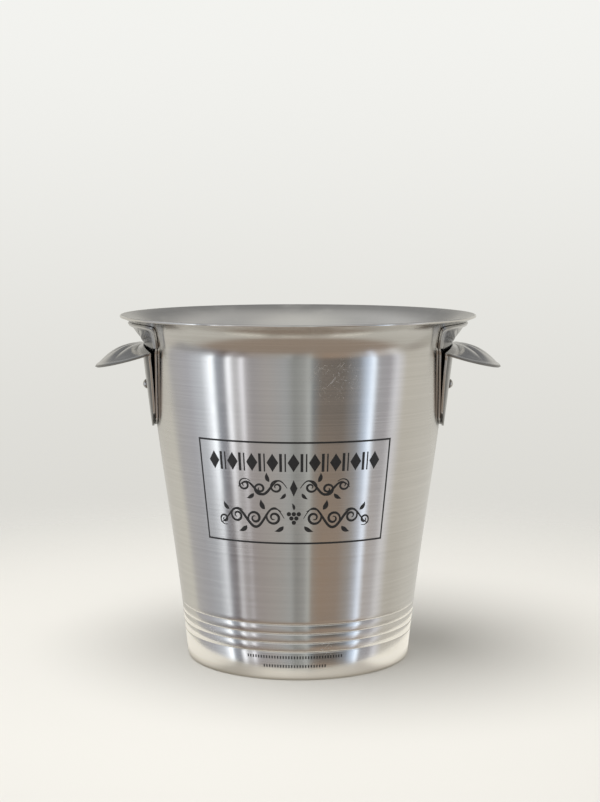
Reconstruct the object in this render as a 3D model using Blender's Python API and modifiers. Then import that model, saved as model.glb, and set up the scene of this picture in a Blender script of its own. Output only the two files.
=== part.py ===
"""Champagne bucket of spun aluminium with two riveted shell handles.

Metres, +Z up. The origin is on the bucket's axis, on the floor it stands on.
The handles lie along X; the handle on the +X side is the right one.
"""
import math

import bmesh
import bpy
from mathutils import Matrix

# Body: outside of the wall, which leaves the floor, tapers out to the neck and flares to the rim
BODY_HEIGHT = 0.2088
RIM_RADIUS = 0.1075
BASE_RADIUS = 0.0676
FLARE_HEIGHT = 0.0208
FLARE_SPREAD = 0.0165
NECK_HEIGHT = BODY_HEIGHT - FLARE_HEIGHT
NECK_RADIUS = RIM_RADIUS - FLARE_SPREAD
WALL_SWAY = 0.0005
WALL_THICKNESS = 0.0015
BASE_CORNER = 0.0020
PANEL_RADIUS = 0.0540
PANEL_STEP = 0.0030
PANEL_RISE = 0.0010

# Turned grooves in the lower wall
GROOVE_COUNT = 4
GROOVE_TOP = 0.0335
GROOVE_PITCH = 0.0055
GROOVE_WIDTH = 0.0011
GROOVE_DEPTH = 0.0004

# Handles, hung from the hinge line where the wings leave the wall
PLATE_THICKNESS = 0.0012
HINGE_OVER_NECK = 0.0037
HINGE_HEIGHT = NECK_HEIGHT + HINGE_OVER_NECK
FAN_UNDER_LIP = 0.0038
FAN_TOP = BODY_HEIGHT - FAN_UNDER_LIP
FAN_ROOT_HALF_WIDTH = 0.0427
FAN_CORNER_SHARPNESS = 16
BACK_TONGUE_LENGTH = 0.0482
BACK_TONGUE_BOTTOM = HINGE_HEIGHT - BACK_TONGUE_LENGTH
BACK_TONGUE_HALF_WIDTH_TOP = 0.0392
BACK_TONGUE_HALF_WIDTH_BOTTOM = 0.0206
BACK_TONGUE_CORNER = 0.0050
SHOULDER_LENGTH = 0.0045
WING_REACH = 0.0297
WING_HALF_WIDTH = 0.0410
WING_SIDE_DROP = 0.0035
WING_TIP_DROP = 0.0106
WING_CROWN = 2.2
TONGUE_SWELL = 1.4
GRIP_TONGUE_LENGTH = 0.0497
GRIP_TONGUE_BOTTOM = HINGE_HEIGHT - GRIP_TONGUE_LENGTH
GRIP_TONGUE_HALF_WIDTH_BOTTOM = 0.0232
GRIP_TONGUE_CORNER = 0.0120
GRIP_STAND_OFF = 0.0028
GRIP_OPEN_LENGTH = 0.0467
FAN_FLUTE_STEP = math.radians(25)
WING_FLUTE_STEP = math.radians(30)
FLUTE_HEIGHT = 0.0008
FLUTE_END = 0.90
FLUTE_SWELL = 1.4
FLUTES = 5

# Rivets
RIVET_UNDER_HINGE = 0.0252
RIVET_HEIGHT = HINGE_HEIGHT - RIVET_UNDER_HINGE
RIVET_SHANK_RADIUS = 0.0016
RIVET_HEAD_RADIUS = 0.0030
RIVET_HEAD_HEIGHT = 0.0025
RIVET_TAIL_RADIUS = 0.0027
RIVET_TAIL_HEIGHT = 0.0010

# Fits
SEAT_GAP = 0.0003
HOLE_GAP = 0.0003
HOLE_CUTTER_LENGTH = 0.0200

# Fineness of the meshes
BODY_SEGMENTS = 60
WALL_STEPS = 6
FLARE_STEPS = 7
FLARE_REPEATS = 20
LIP_STEPS = 4
CORNER_STEPS = 3
FLUTE_STATIONS = 4
RADIAL_STEPS = 8
TONGUE_STEPS = 11
TONGUE_SPACING = 1.4
RIVET_SEGMENTS = 20
RIVET_STEPS = 4
SHARP_ANGLE = math.radians(40)


def wall_radius(z):
    """Outside radius of the tapered wall at height z, below the neck."""
    u = z / NECK_HEIGHT
    return BASE_RADIUS + (NECK_RADIUS - BASE_RADIUS) * u - WALL_SWAY * math.sin(2 * math.pi * u)


def wall_slope(z):
    """Outward slope dr/dz of the tapered wall at height z."""
    turn = 2 * math.pi / NECK_HEIGHT
    return (NECK_RADIUS - BASE_RADIUS) / NECK_HEIGHT - WALL_SWAY * turn * math.cos(turn * z)


def flare_arc():
    """Start lean, end lean and radius of the arc that leaves the wall at the neck and meets the lip.

    The lip starts where the arc's end lean puts it, so the lean is settled by repeating.
    """
    start = math.atan(wall_slope(NECK_HEIGHT))
    end = math.pi / 3
    for _ in range(FLARE_REPEATS):
        spread = RIM_RADIUS - LIP_RADIUS * (1 - math.cos(end)) - NECK_RADIUS
        rise = BODY_HEIGHT - LIP_RADIUS * (1 + math.sin(end)) - NECK_HEIGHT
        chord = math.atan2(spread, rise)
        end = 2 * chord - start
    return start, end, math.hypot(rise, spread) / (2 * math.sin(chord - start))


LIP_RADIUS = WALL_THICKNESS / 2
FLARE_START, FLARE_END, FLARE_RADIUS = flare_arc()


def outside(z):
    """Radius and lean of the outside surface at height z, on the wall or on the flare."""
    if z <= NECK_HEIGHT:
        return wall_radius(z), math.atan(wall_slope(z))
    lean = math.asin(math.sin(FLARE_START) + (z - NECK_HEIGHT) / FLARE_RADIUS)
    return NECK_RADIUS + FLARE_RADIUS * (math.cos(FLARE_START) - math.cos(lean)), lean


def offset_point(z, distance):
    """Point (radius, height) at a distance square off the outside surface, outward positive."""
    radius, lean = outside(z)
    return radius + distance * math.cos(lean), z - distance * math.sin(lean)


def arc(centre, radius, first, last, steps):
    """Points of an arc in the (radius, height) plane, both ends included."""
    return [
        (
            centre[0] + radius * math.cos(first + (last - first) * i / steps),
            centre[1] + radius * math.sin(first + (last - first) * i / steps),
        )
        for i in range(steps + 1)
    ]


def flare_heights():
    """Stations up the flare, evenly turned, without the neck itself."""
    leans = [FLARE_START + (FLARE_END - FLARE_START) * (i + 1) / FLARE_STEPS for i in range(FLARE_STEPS)]
    return [NECK_HEIGHT + FLARE_RADIUS * (math.sin(a) - math.sin(FLARE_START)) for a in leans]


def groove_points():
    """Outside points of the turned grooves, from the top one down."""
    points = []
    for i in range(GROOVE_COUNT):
        z = GROOVE_TOP - i * GROOVE_PITCH
        for dz, depth in ((GROOVE_WIDTH / 2, 0), (0, GROOVE_DEPTH), (-GROOVE_WIDTH / 2, 0)):
            points.append(offset_point(z + dz, -depth))
    return points


def body_profile():
    """Closed section of the body: up the inside from the axis, over the lip and down the outside."""
    lean = math.atan(wall_slope(0))
    corner = (BASE_RADIUS - BASE_CORNER * (1 - math.sin(lean)) / math.cos(lean), BASE_CORNER)
    corner_arc = arc(corner, BASE_CORNER, -lean, -math.pi / 2, CORNER_STEPS)
    low = GROOVE_TOP + 2 * GROOVE_WIDTH
    wall_heights = [low + (NECK_HEIGHT - low) * i / WALL_STEPS for i in range(WALL_STEPS + 1)]
    upper = wall_heights + flare_heights()

    inner_floor = PANEL_RISE + WALL_THICKNESS
    inner_corner = max(BASE_CORNER - WALL_THICKNESS, BASE_CORNER / 4)
    inside_low = offset_point(WALL_THICKNESS + inner_corner, -WALL_THICKNESS)
    profile = [
        (0, inner_floor),
        (PANEL_RADIUS - WALL_THICKNESS, inner_floor),
        (PANEL_RADIUS + PANEL_STEP - WALL_THICKNESS, WALL_THICKNESS),
        (inside_low[0] - inner_corner, WALL_THICKNESS),
        inside_low,
    ]
    profile += [offset_point(z, -WALL_THICKNESS) for z in upper]

    centre = offset_point(upper[-1], -LIP_RADIUS)
    lip = arc(centre, LIP_RADIUS, math.pi - FLARE_END, -FLARE_END, LIP_STEPS)
    profile += lip[1:-1]
    profile += [offset_point(z, 0) for z in reversed(upper)]
    profile += groove_points()
    profile += corner_arc
    profile += [(PANEL_RADIUS + PANEL_STEP, 0), (PANEL_RADIUS, PANEL_RISE), (0, PANEL_RISE)]
    return profile


def dome(radius, height, base, sign):
    """Points of a rivet's domed end, from its crown to its edge, which lies at base."""
    sphere = (radius * radius + height * height) / (2 * height)
    edge = math.asin(min(1.0, radius / sphere))
    points = []
    for i in range(RIVET_STEPS + 1):
        a = edge * i / RIVET_STEPS
        points.append((sphere * math.sin(a), base + sign * (height - sphere * (1 - math.cos(a)))))
    return points


def rivet_profile():
    """Section of a rivet whose head seats at height 0 and whose tail is below."""
    grip_length = WALL_THICKNESS + 2 * PLATE_THICKNESS + 4 * SEAT_GAP
    tail = dome(RIVET_TAIL_RADIUS, RIVET_TAIL_HEIGHT, -grip_length, -1)
    return (
        dome(RIVET_HEAD_RADIUS, RIVET_HEAD_HEIGHT, 0, 1)
        + [(RIVET_SHANK_RADIUS, 0), (RIVET_SHANK_RADIUS, -grip_length)]
        + tail[::-1]
    )


def material(name, colour, metallic, roughness):
    """A Principled material with the part's colour and finish."""
    made = bpy.data.materials.new(name)
    made.use_nodes = True
    shader = made.node_tree.nodes["Principled BSDF"]
    shader.inputs["Base Color"].default_value = (*colour, 1)
    shader.inputs["Metallic"].default_value = metallic
    shader.inputs["Roughness"].default_value = roughness
    return made


def turned(name, profile, segments, collection):
    """Object made by turning a section about its own Z."""
    mesh = bpy.data.meshes.new(name)
    points = [(r, 0, z) for r, z in profile]
    mesh.from_pydata(points, [(i, i + 1) for i in range(len(points) - 1)], [])
    made = bpy.data.objects.new(name, mesh)
    collection.objects.link(made)
    screw = made.modifiers.new("turn", "SCREW")
    screw.axis = "Z"
    screw.steps = segments
    screw.render_steps = segments
    screw.use_merge_vertices = True
    screw.merge_threshold = 0.00001
    screw.use_smooth_shade = True
    return made


def flute(angle, share, step):
    """Height of the flutes at an angle from a shell's middle, at a share of its radius."""
    if abs(angle) >= FLUTES / 2 * step or share >= FLUTE_END:
        return 0.0
    rise = math.sin(math.pi * (share / FLUTE_END) ** FLUTE_SWELL)
    return FLUTE_HEIGHT * rise * abs(math.cos(math.pi * angle / step))


def tongue_half_width(z, top, bottom, width_top, width_bottom):
    """Half width of a tongue, wide at the hinge line and narrow at its foot."""
    u = (z - bottom) / (top - bottom)
    return width_bottom + (width_top - width_bottom) * u * (TONGUE_SWELL - (TONGUE_SWELL - 1) * u)


def foot_lift(side, half_width, corner):
    """How far the rounded corner of a tongue's foot rises at a share of its half width."""
    into = min(corner, max(0.0, abs(side) * half_width - (half_width - corner)))
    return corner - math.sqrt(corner * corner - into * into)


def fan_half_width(radius):
    """Half width of the fan where its face lies at a radius: its side edges stand in one upright plane."""
    root_radius = offset_point(HINGE_HEIGHT, SEAT_GAP + PLATE_THICKNESS)[0]
    plane = math.sqrt(root_radius ** 2 - FAN_ROOT_HALF_WIDTH ** 2)
    return math.sqrt(radius ** 2 - plane ** 2)


def fan_point(angle, share):
    """Wall side of the back plate's fan, a rounded rectangle of shares of its width and height."""
    s, c = math.sin(angle), math.cos(angle)
    edge = (abs(s) ** FAN_CORNER_SHARPNESS + c ** FAN_CORNER_SHARPNESS) ** (-1 / FAN_CORNER_SHARPNESS)
    station = HINGE_HEIGHT + (FAN_TOP - HINGE_HEIGHT) * edge * share * c
    face_radius = offset_point(station, SEAT_GAP + PLATE_THICKNESS)[0]
    y = fan_half_width(face_radius) * edge * share * s
    radius, z = offset_point(station, SEAT_GAP + flute(angle, share, FAN_FLUTE_STEP))
    return math.sqrt(radius * radius - y * y), y, z


def back_tongue_point(side, share):
    """Wall side of the back plate's tongue."""
    lift = foot_lift(side, BACK_TONGUE_HALF_WIDTH_BOTTOM, BACK_TONGUE_CORNER)
    station = HINGE_HEIGHT - (HINGE_HEIGHT - BACK_TONGUE_BOTTOM - lift) * share
    half = tongue_half_width(
        station, HINGE_HEIGHT, BACK_TONGUE_BOTTOM, BACK_TONGUE_HALF_WIDTH_TOP, BACK_TONGUE_HALF_WIDTH_BOTTOM
    )
    shoulder = FAN_ROOT_HALF_WIDTH - BACK_TONGUE_HALF_WIDTH_TOP
    half += shoulder * max(0.0, 1 - (HINGE_HEIGHT - station) / SHOULDER_LENGTH) ** 2
    y = side * half
    radius, z = offset_point(station, SEAT_GAP)
    return math.sqrt(radius * radius - y * y), y, z


def grip_seat(station, y):
    """Point of the grip's wall side: seated at the middle, standing off towards its edges."""
    radius, z = offset_point(station, 2 * SEAT_GAP + PLATE_THICKNESS)
    opening = max(0.0, 1 - (HINGE_HEIGHT - station) / GRIP_OPEN_LENGTH)
    x = math.sqrt(radius * radius - y * y) + GRIP_STAND_OFF * opening * (y / WING_HALF_WIDTH) ** 2
    return x, y, z


def wing_point(angle, share):
    """Upper side of the grip's wing, a half shell that bows out and droops from the hinge line."""
    y = WING_HALF_WIDTH * share * math.sin(angle)
    station = HINGE_HEIGHT - WING_SIDE_DROP * (y / WING_HALF_WIDTH) ** 2
    x, y, z = grip_seat(station, y)
    c = math.cos(angle)
    droop = (WING_SIDE_DROP * c * c + WING_TIP_DROP * c) * share ** WING_CROWN
    return x + WING_REACH * share * c, y, z - droop + flute(angle, share, WING_FLUTE_STEP)


def grip_tongue_point(side, share):
    """Wall side of the grip's tongue."""
    top = HINGE_HEIGHT - WING_SIDE_DROP * side * side
    lift = foot_lift(side, GRIP_TONGUE_HALF_WIDTH_BOTTOM, GRIP_TONGUE_CORNER)
    station = top - (top - GRIP_TONGUE_BOTTOM - lift) * share
    half = tongue_half_width(
        station, top, GRIP_TONGUE_BOTTOM, WING_HALF_WIDTH, GRIP_TONGUE_HALF_WIDTH_BOTTOM
    )
    return grip_seat(station, side * half)


def ray_angles(step):
    """Angles of a shell's rays, evenly set in each flute, with a ray along each end of the hinge line."""
    between = step / FLUTE_STATIONS
    inner = math.ceil(math.pi / 2 / between) - 1
    return [-math.pi / 2] + [between * k for k in range(-inner, inner + 1)] + [math.pi / 2]


def plate_mesh(name, shell_point, tongue_point, step):
    """Mesh of one stamped plate's wall side: a half shell of rays above a ruled tongue."""
    bm = bmesh.new()
    angles = ray_angles(step)
    hub = bm.verts.new(shell_point(0, 0))
    rays = [
        [hub] + [bm.verts.new(shell_point(a, i / RADIAL_STEPS)) for i in range(1, RADIAL_STEPS + 1)]
        for a in angles
    ]
    for left, right in zip(rays, rays[1:]):
        bm.faces.new((hub, left[1], right[1]))
        for i in range(1, RADIAL_STEPS):
            bm.faces.new((left[i], left[i + 1], right[i + 1], right[i]))
    row = rays[0][:0:-1] + rays[-1]
    for k in range(1, TONGUE_STEPS + 1):
        share = (k / TONGUE_STEPS) ** TONGUE_SPACING
        sides = [c / RADIAL_STEPS for c in range(-RADIAL_STEPS, RADIAL_STEPS + 1)]
        lower = [bm.verts.new(tongue_point(s, share)) for s in sides]
        for c in range(2 * RADIAL_STEPS):
            bm.faces.new((lower[c], row[c], row[c + 1], lower[c + 1]))
        row = lower
    bm.normal_update()
    mesh = bpy.data.meshes.new(name)
    bm.to_mesh(mesh)
    bm.free()
    mesh.shade_smooth()
    mesh.set_sharp_from_angle(angle=SHARP_ANGLE)
    return mesh


def cutter(name, radius, length, matrix, collection):
    """Guide cylinder for a hole along a matrix's Z."""
    bm = bmesh.new()
    bmesh.ops.create_cone(
        bm, cap_ends=True, segments=RIVET_SEGMENTS, radius1=radius, radius2=radius, depth=length
    )
    mesh = bpy.data.meshes.new(name)
    bm.to_mesh(mesh)
    bm.free()
    made = bpy.data.objects.new(name, mesh)
    made.matrix_world = matrix
    made.hide_render = True
    made.display_type = "WIRE"
    collection.objects.link(made)
    return made


def plate(name, mesh, finish, turn, hole, collection):
    """One stamped plate: the wall side thickened outwards, with its rivet hole."""
    made = bpy.data.objects.new(name, mesh)
    made.rotation_euler.z = turn
    made.data.materials.append(finish)
    collection.objects.link(made)
    sheet = made.modifiers.new("sheet", "SOLIDIFY")
    sheet.thickness = PLATE_THICKNESS
    sheet.offset = -1
    sheet.use_even_offset = True
    drill(made, "rivet_hole", hole)
    return made


def drill(target, name, hole):
    """Cut a guide cylinder out of an object."""
    cut = target.modifiers.new(name, "BOOLEAN")
    cut.operation = "DIFFERENCE"
    cut.solver = "EXACT"
    cut.object = hole


def main():
    """Build the bucket, its two handles and their rivets."""
    for old in list(bpy.data.objects):
        bpy.data.objects.remove(old, do_unlink=True)
    parts = bpy.data.collections.new("champagne_bucket")
    guides = bpy.data.collections.new("cutters")
    bpy.context.scene.collection.children.link(parts)
    bpy.context.scene.collection.children.link(guides)
    frame = bpy.data.objects.new("bucket_frame", None)
    parts.objects.link(frame)

    body = turned("bucket_body", body_profile(), BODY_SEGMENTS, parts)
    body.data.materials.append(material("spun_aluminium", (0.66, 0.65, 0.63), 1.0, 0.25))
    body.parent = frame

    rivet_lean = outside(RIVET_HEIGHT)[1]
    wall_r, wall_z = offset_point(RIVET_HEIGHT, 0)
    seat_r, seat_z = offset_point(RIVET_HEIGHT, 3 * SEAT_GAP + 2 * PLATE_THICKNESS)
    square_to_wall = Matrix.Rotation(math.pi / 2 + rivet_lean, 4, "Y")
    meshes = {
        "back_plate": plate_mesh("handle_back_plate", fan_point, back_tongue_point, FAN_FLUTE_STEP),
        "grip": plate_mesh("handle_grip", wing_point, grip_tongue_point, WING_FLUTE_STEP),
    }
    for side, turn in (("right", 0.0), ("left", math.pi)):
        about_axis = Matrix.Rotation(turn, 4, "Z")
        hole = cutter(
            f"rivet_hole_{side}",
            RIVET_SHANK_RADIUS + HOLE_GAP,
            HOLE_CUTTER_LENGTH,
            about_axis @ Matrix.Translation((wall_r, 0, wall_z)) @ square_to_wall,
            guides,
        )
        drill(body, f"rivet_hole_{side}", hole)
        for piece, mesh in meshes.items():
            finish = material(f"pressed_{piece}_{side}", (0.60, 0.60, 0.60), 1.0, 0.20)
            made = plate(f"handle_{piece}_{side}", mesh.copy(), finish, turn, hole, parts)
            made.parent = frame
        rivet = turned(f"rivet_{side}", rivet_profile(), RIVET_SEGMENTS, parts)
        rivet.data.materials.append(material(f"rivet_aluminium_{side}", (0.62, 0.62, 0.62), 1.0, 0.25))
        rivet.matrix_world = about_axis @ Matrix.Translation((seat_r, 0, seat_z)) @ square_to_wall
        rivet.parent = frame


main()
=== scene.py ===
"""Looks of the spun aluminium champagne bucket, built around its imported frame.

Metres, +Z up. The origin is on the floor, under the bucket's axis. The printed
panel faces -Y and the handles lie along X.
"""
import logging
import math
from dataclasses import dataclass
from enum import Enum
from functools import cached_property
from typing import Any, Sequence

import bpy
from mathutils import Matrix, Vector


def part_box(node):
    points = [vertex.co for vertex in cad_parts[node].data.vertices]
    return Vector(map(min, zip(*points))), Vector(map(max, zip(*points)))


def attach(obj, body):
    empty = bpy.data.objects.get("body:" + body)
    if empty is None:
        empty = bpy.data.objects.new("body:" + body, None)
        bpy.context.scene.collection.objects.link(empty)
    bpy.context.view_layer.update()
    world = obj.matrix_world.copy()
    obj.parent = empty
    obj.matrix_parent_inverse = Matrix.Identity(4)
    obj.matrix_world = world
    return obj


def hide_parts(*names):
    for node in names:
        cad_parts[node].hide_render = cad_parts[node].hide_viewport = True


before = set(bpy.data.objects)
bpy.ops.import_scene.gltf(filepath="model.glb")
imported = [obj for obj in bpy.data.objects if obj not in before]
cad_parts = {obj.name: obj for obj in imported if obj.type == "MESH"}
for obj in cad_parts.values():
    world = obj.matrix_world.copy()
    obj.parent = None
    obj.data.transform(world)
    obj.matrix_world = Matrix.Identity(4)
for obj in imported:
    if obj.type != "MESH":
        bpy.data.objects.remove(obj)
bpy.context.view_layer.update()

LOG = logging.getLogger("champagne_bucket")
MERGE = 0.000002
MM = 0.001
QUARTER_TURN = 0.25
FINE_LINES = (5, 5, 2600)

Point = tuple[float, float]
Colour = tuple[float, float, float]
Spot = tuple[tuple[float, float, float], float]
Card = tuple[float, float, float, float]


class Side(Enum):
    """The two handles, by their turn about the bucket's axis from +X."""

    RIGHT = 0.0
    LEFT = math.pi

    @property
    def label(self) -> str:
        """The side's word in piece names."""
        return self.name.lower()


class Slot(Enum):
    """The record's material slots."""

    BODY = "spun_body"
    BACK_PLATE = "pressed_back_plate"
    GRIP = "pressed_grip"
    RIVET = "rivet_metal"
    INK = "printed_ink"


def smooth(low: float, high: float, value: float) -> float:
    """Ease from 0 at low to 1 at high.

    Args:
        low: Value where the step starts.
        high: Value where the step ends.
        value: Value to ease.

    Returns:
        The share of the step, from 0 to 1.
    """
    share = min(1.0, max(0.0, (value - low) / (high - low)))
    return share * share * (3 - 2 * share)


def shares(count: int) -> list[float]:
    """Even shares from 0 to 1, both ends included."""
    return [i / count for i in range(count + 1)]


# ---------------------------------------------------------------- workshop


class Workshop:
    """Hand tools for meshes: each one acts on the piece it is given."""

    @staticmethod
    def clear() -> None:
        """Leave edit mode and deselect every object."""
        if bpy.context.object and bpy.context.object.mode != "OBJECT":
            bpy.ops.object.mode_set(mode="OBJECT")
        bpy.ops.object.select_all(action="DESELECT")

    @classmethod
    def take(cls, piece: bpy.types.Object) -> None:
        """Select one piece alone and make it active.

        Args:
            piece: The piece to select.
        """
        cls.clear()
        piece.select_set(True)
        bpy.context.view_layer.objects.active = piece

    @classmethod
    def draw(cls, name: str, points: Sequence[Sequence[float]]) -> bpy.types.Object:
        """Draw a line by extruding one corner from point to point.

        Args:
            name: Name of the new piece.
            points: The line's points, each of three numbers.

        Returns:
            The piece, in edit mode, with its line selected all over.
        """
        cls.clear()
        bpy.ops.mesh.primitive_plane_add(size=MM, location=points[0])
        piece = bpy.context.object
        piece.name = piece.data.name = name
        bpy.ops.object.transform_apply(location=True, rotation=True, scale=True)
        bpy.ops.object.mode_set(mode="EDIT")
        bpy.ops.mesh.select_mode(type="VERT")
        bpy.ops.mesh.select_all(action="SELECT")
        bpy.ops.mesh.merge(type="CENTER")
        here = Vector(points[0])
        for point in points[1:]:
            step = Vector(point) - here
            bpy.ops.mesh.extrude_vertices_move(TRANSFORM_OT_translate={"value": step})
            here = here + step
        bpy.ops.mesh.select_all(action="SELECT")
        return piece

    @classmethod
    def turn(cls, name: str, profile: Sequence[Point], steps: int) -> bpy.types.Object:
        """Turn a section of (radius, height) points into a closed round piece about Z.

        Args:
            name: Name of the new piece.
            profile: The section, from axis to axis.
            steps: Number of steps round.

        Returns:
            The finished round piece, in object mode.
        """
        piece = cls.draw(name, [(radius, 0.0, height) for radius, height in profile])
        bpy.ops.mesh.spin(steps=steps, angle=2 * math.pi, center=(0, 0, 0), axis=(0, 0, 1))
        cls.close_up()
        return piece

    @staticmethod
    def close_up() -> None:
        """Merge the edited mesh's doubles, turn its faces outwards and leave edit mode."""
        bpy.ops.mesh.select_all(action="SELECT")
        bpy.ops.mesh.remove_doubles(threshold=MERGE)
        bpy.ops.mesh.normals_make_consistent(inside=False)
        bpy.ops.object.mode_set(mode="OBJECT")

    @staticmethod
    def paint(piece: bpy.types.Object, *finishes: bpy.types.Material) -> None:
        """Give a piece its finishes and no others.

        Args:
            piece: The piece to paint.
            *finishes: Its materials, in order of their index.
        """
        piece.data.materials.clear()
        for finish in finishes:
            piece.data.materials.append(finish)

    @classmethod
    def modify(cls, piece: bpy.types.Object, kind: str, **settings: Any) -> None:
        """Add a modifier with its settings, and apply it.

        Args:
            piece: The piece to change.
            kind: Modifier type.
            **settings: Values of the modifier's properties.
        """
        cls.take(piece)
        modifier = piece.modifiers.new(kind.lower(), kind)
        for key, value in settings.items():
            setattr(modifier, key, value)
        bpy.ops.object.modifier_apply(modifier=modifier.name)

    @classmethod
    def settle(cls, piece: bpy.types.Object) -> None:
        """Put a piece's place, turn and scale into its mesh."""
        cls.take(piece)
        bpy.ops.object.transform_apply(location=True, rotation=True, scale=True)

    @classmethod
    def soften(cls, piece: bpy.types.Object, degrees: float = 35.0) -> None:
        """Shade a piece smooth, and keep its edges over an angle crisp."""
        cls.take(piece)
        bpy.ops.object.shade_smooth_by_angle(angle=math.radians(degrees))

    @classmethod
    def drill(cls, piece: bpy.types.Object, radius: float, place: Matrix, length: float) -> None:
        """Drill a round hole through a piece.

        Args:
            piece: The piece to drill.
            radius: Radius of the hole.
            place: Where the drill's middle is, with its Z along the hole.
            length: Length of the drill.
        """
        cls.clear()
        bpy.ops.mesh.primitive_cylinder_add(vertices=32, radius=radius, depth=length)
        drill = bpy.context.object
        drill.matrix_world = place
        cls.settle(drill)
        cls.modify(piece, "BOOLEAN", operation="DIFFERENCE", solver="EXACT", object=drill)
        bpy.data.objects.remove(drill, do_unlink=True)

    @classmethod
    def copy_turned(cls, piece: bpy.types.Object, name: str, angle: float) -> bpy.types.Object:
        """Copy a piece with its own mesh, turned about the bucket's axis.

        Args:
            piece: The piece to copy.
            name: Name of the copy.
            angle: Turn about Z, in radians.

        Returns:
            The copy, with its turn in its mesh.
        """
        cls.take(piece)
        bpy.ops.object.duplicate(linked=False)
        made = bpy.context.object
        made.name = made.data.name = name
        made.rotation_euler.z = angle
        cls.settle(made)
        return made


# ---------------------------------------------------------------- finishes


class Value:
    """A number flowing through a finish. Its operators add Math nodes."""

    def __init__(self, bench: "FinishBench", socket: bpy.types.NodeSocket) -> None:
        """Wrap an output socket of a bench's node tree."""
        self.bench = bench
        self.socket = socket

    def _math(self, operation: str, first: Any, second: Any = None) -> "Value":
        """Add one Math node on one or two numbers."""
        inputs = {0: first} if second is None else {0: first, 1: second}
        return self.bench.number("ShaderNodeMath", {"operation": operation}, inputs)

    def __add__(self, other: Any) -> "Value":
        """Sum."""
        return self._math("ADD", self, other)

    __radd__ = __add__

    def __sub__(self, other: Any) -> "Value":
        """Difference."""
        return self._math("SUBTRACT", self, other)

    def __rsub__(self, other: Any) -> "Value":
        """Difference from a plain number."""
        return self._math("SUBTRACT", other, self)

    def __mul__(self, other: Any) -> "Value":
        """Product."""
        return self._math("MULTIPLY", self, other)

    __rmul__ = __mul__

    def __truediv__(self, other: Any) -> "Value":
        """Quotient."""
        return self._math("DIVIDE", self, other)

    def __pow__(self, other: Any) -> "Value":
        """Power."""
        return self._math("POWER", self, other)

    def step(self, low: float, high: float) -> "Value":
        """Ease from 0 at low to 1 at high.

        Args:
            low: Number where the step starts.
            high: Number where the step ends.

        Returns:
            The share of the step, from 0 to 1.
        """
        return self.bench.number(
            "ShaderNodeMapRange",
            {"interpolation_type": "SMOOTHSTEP"},
            {"Value": self, "From Min": low, "From Max": high, "To Min": 0.0, "To Max": 1.0},
        )


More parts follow.
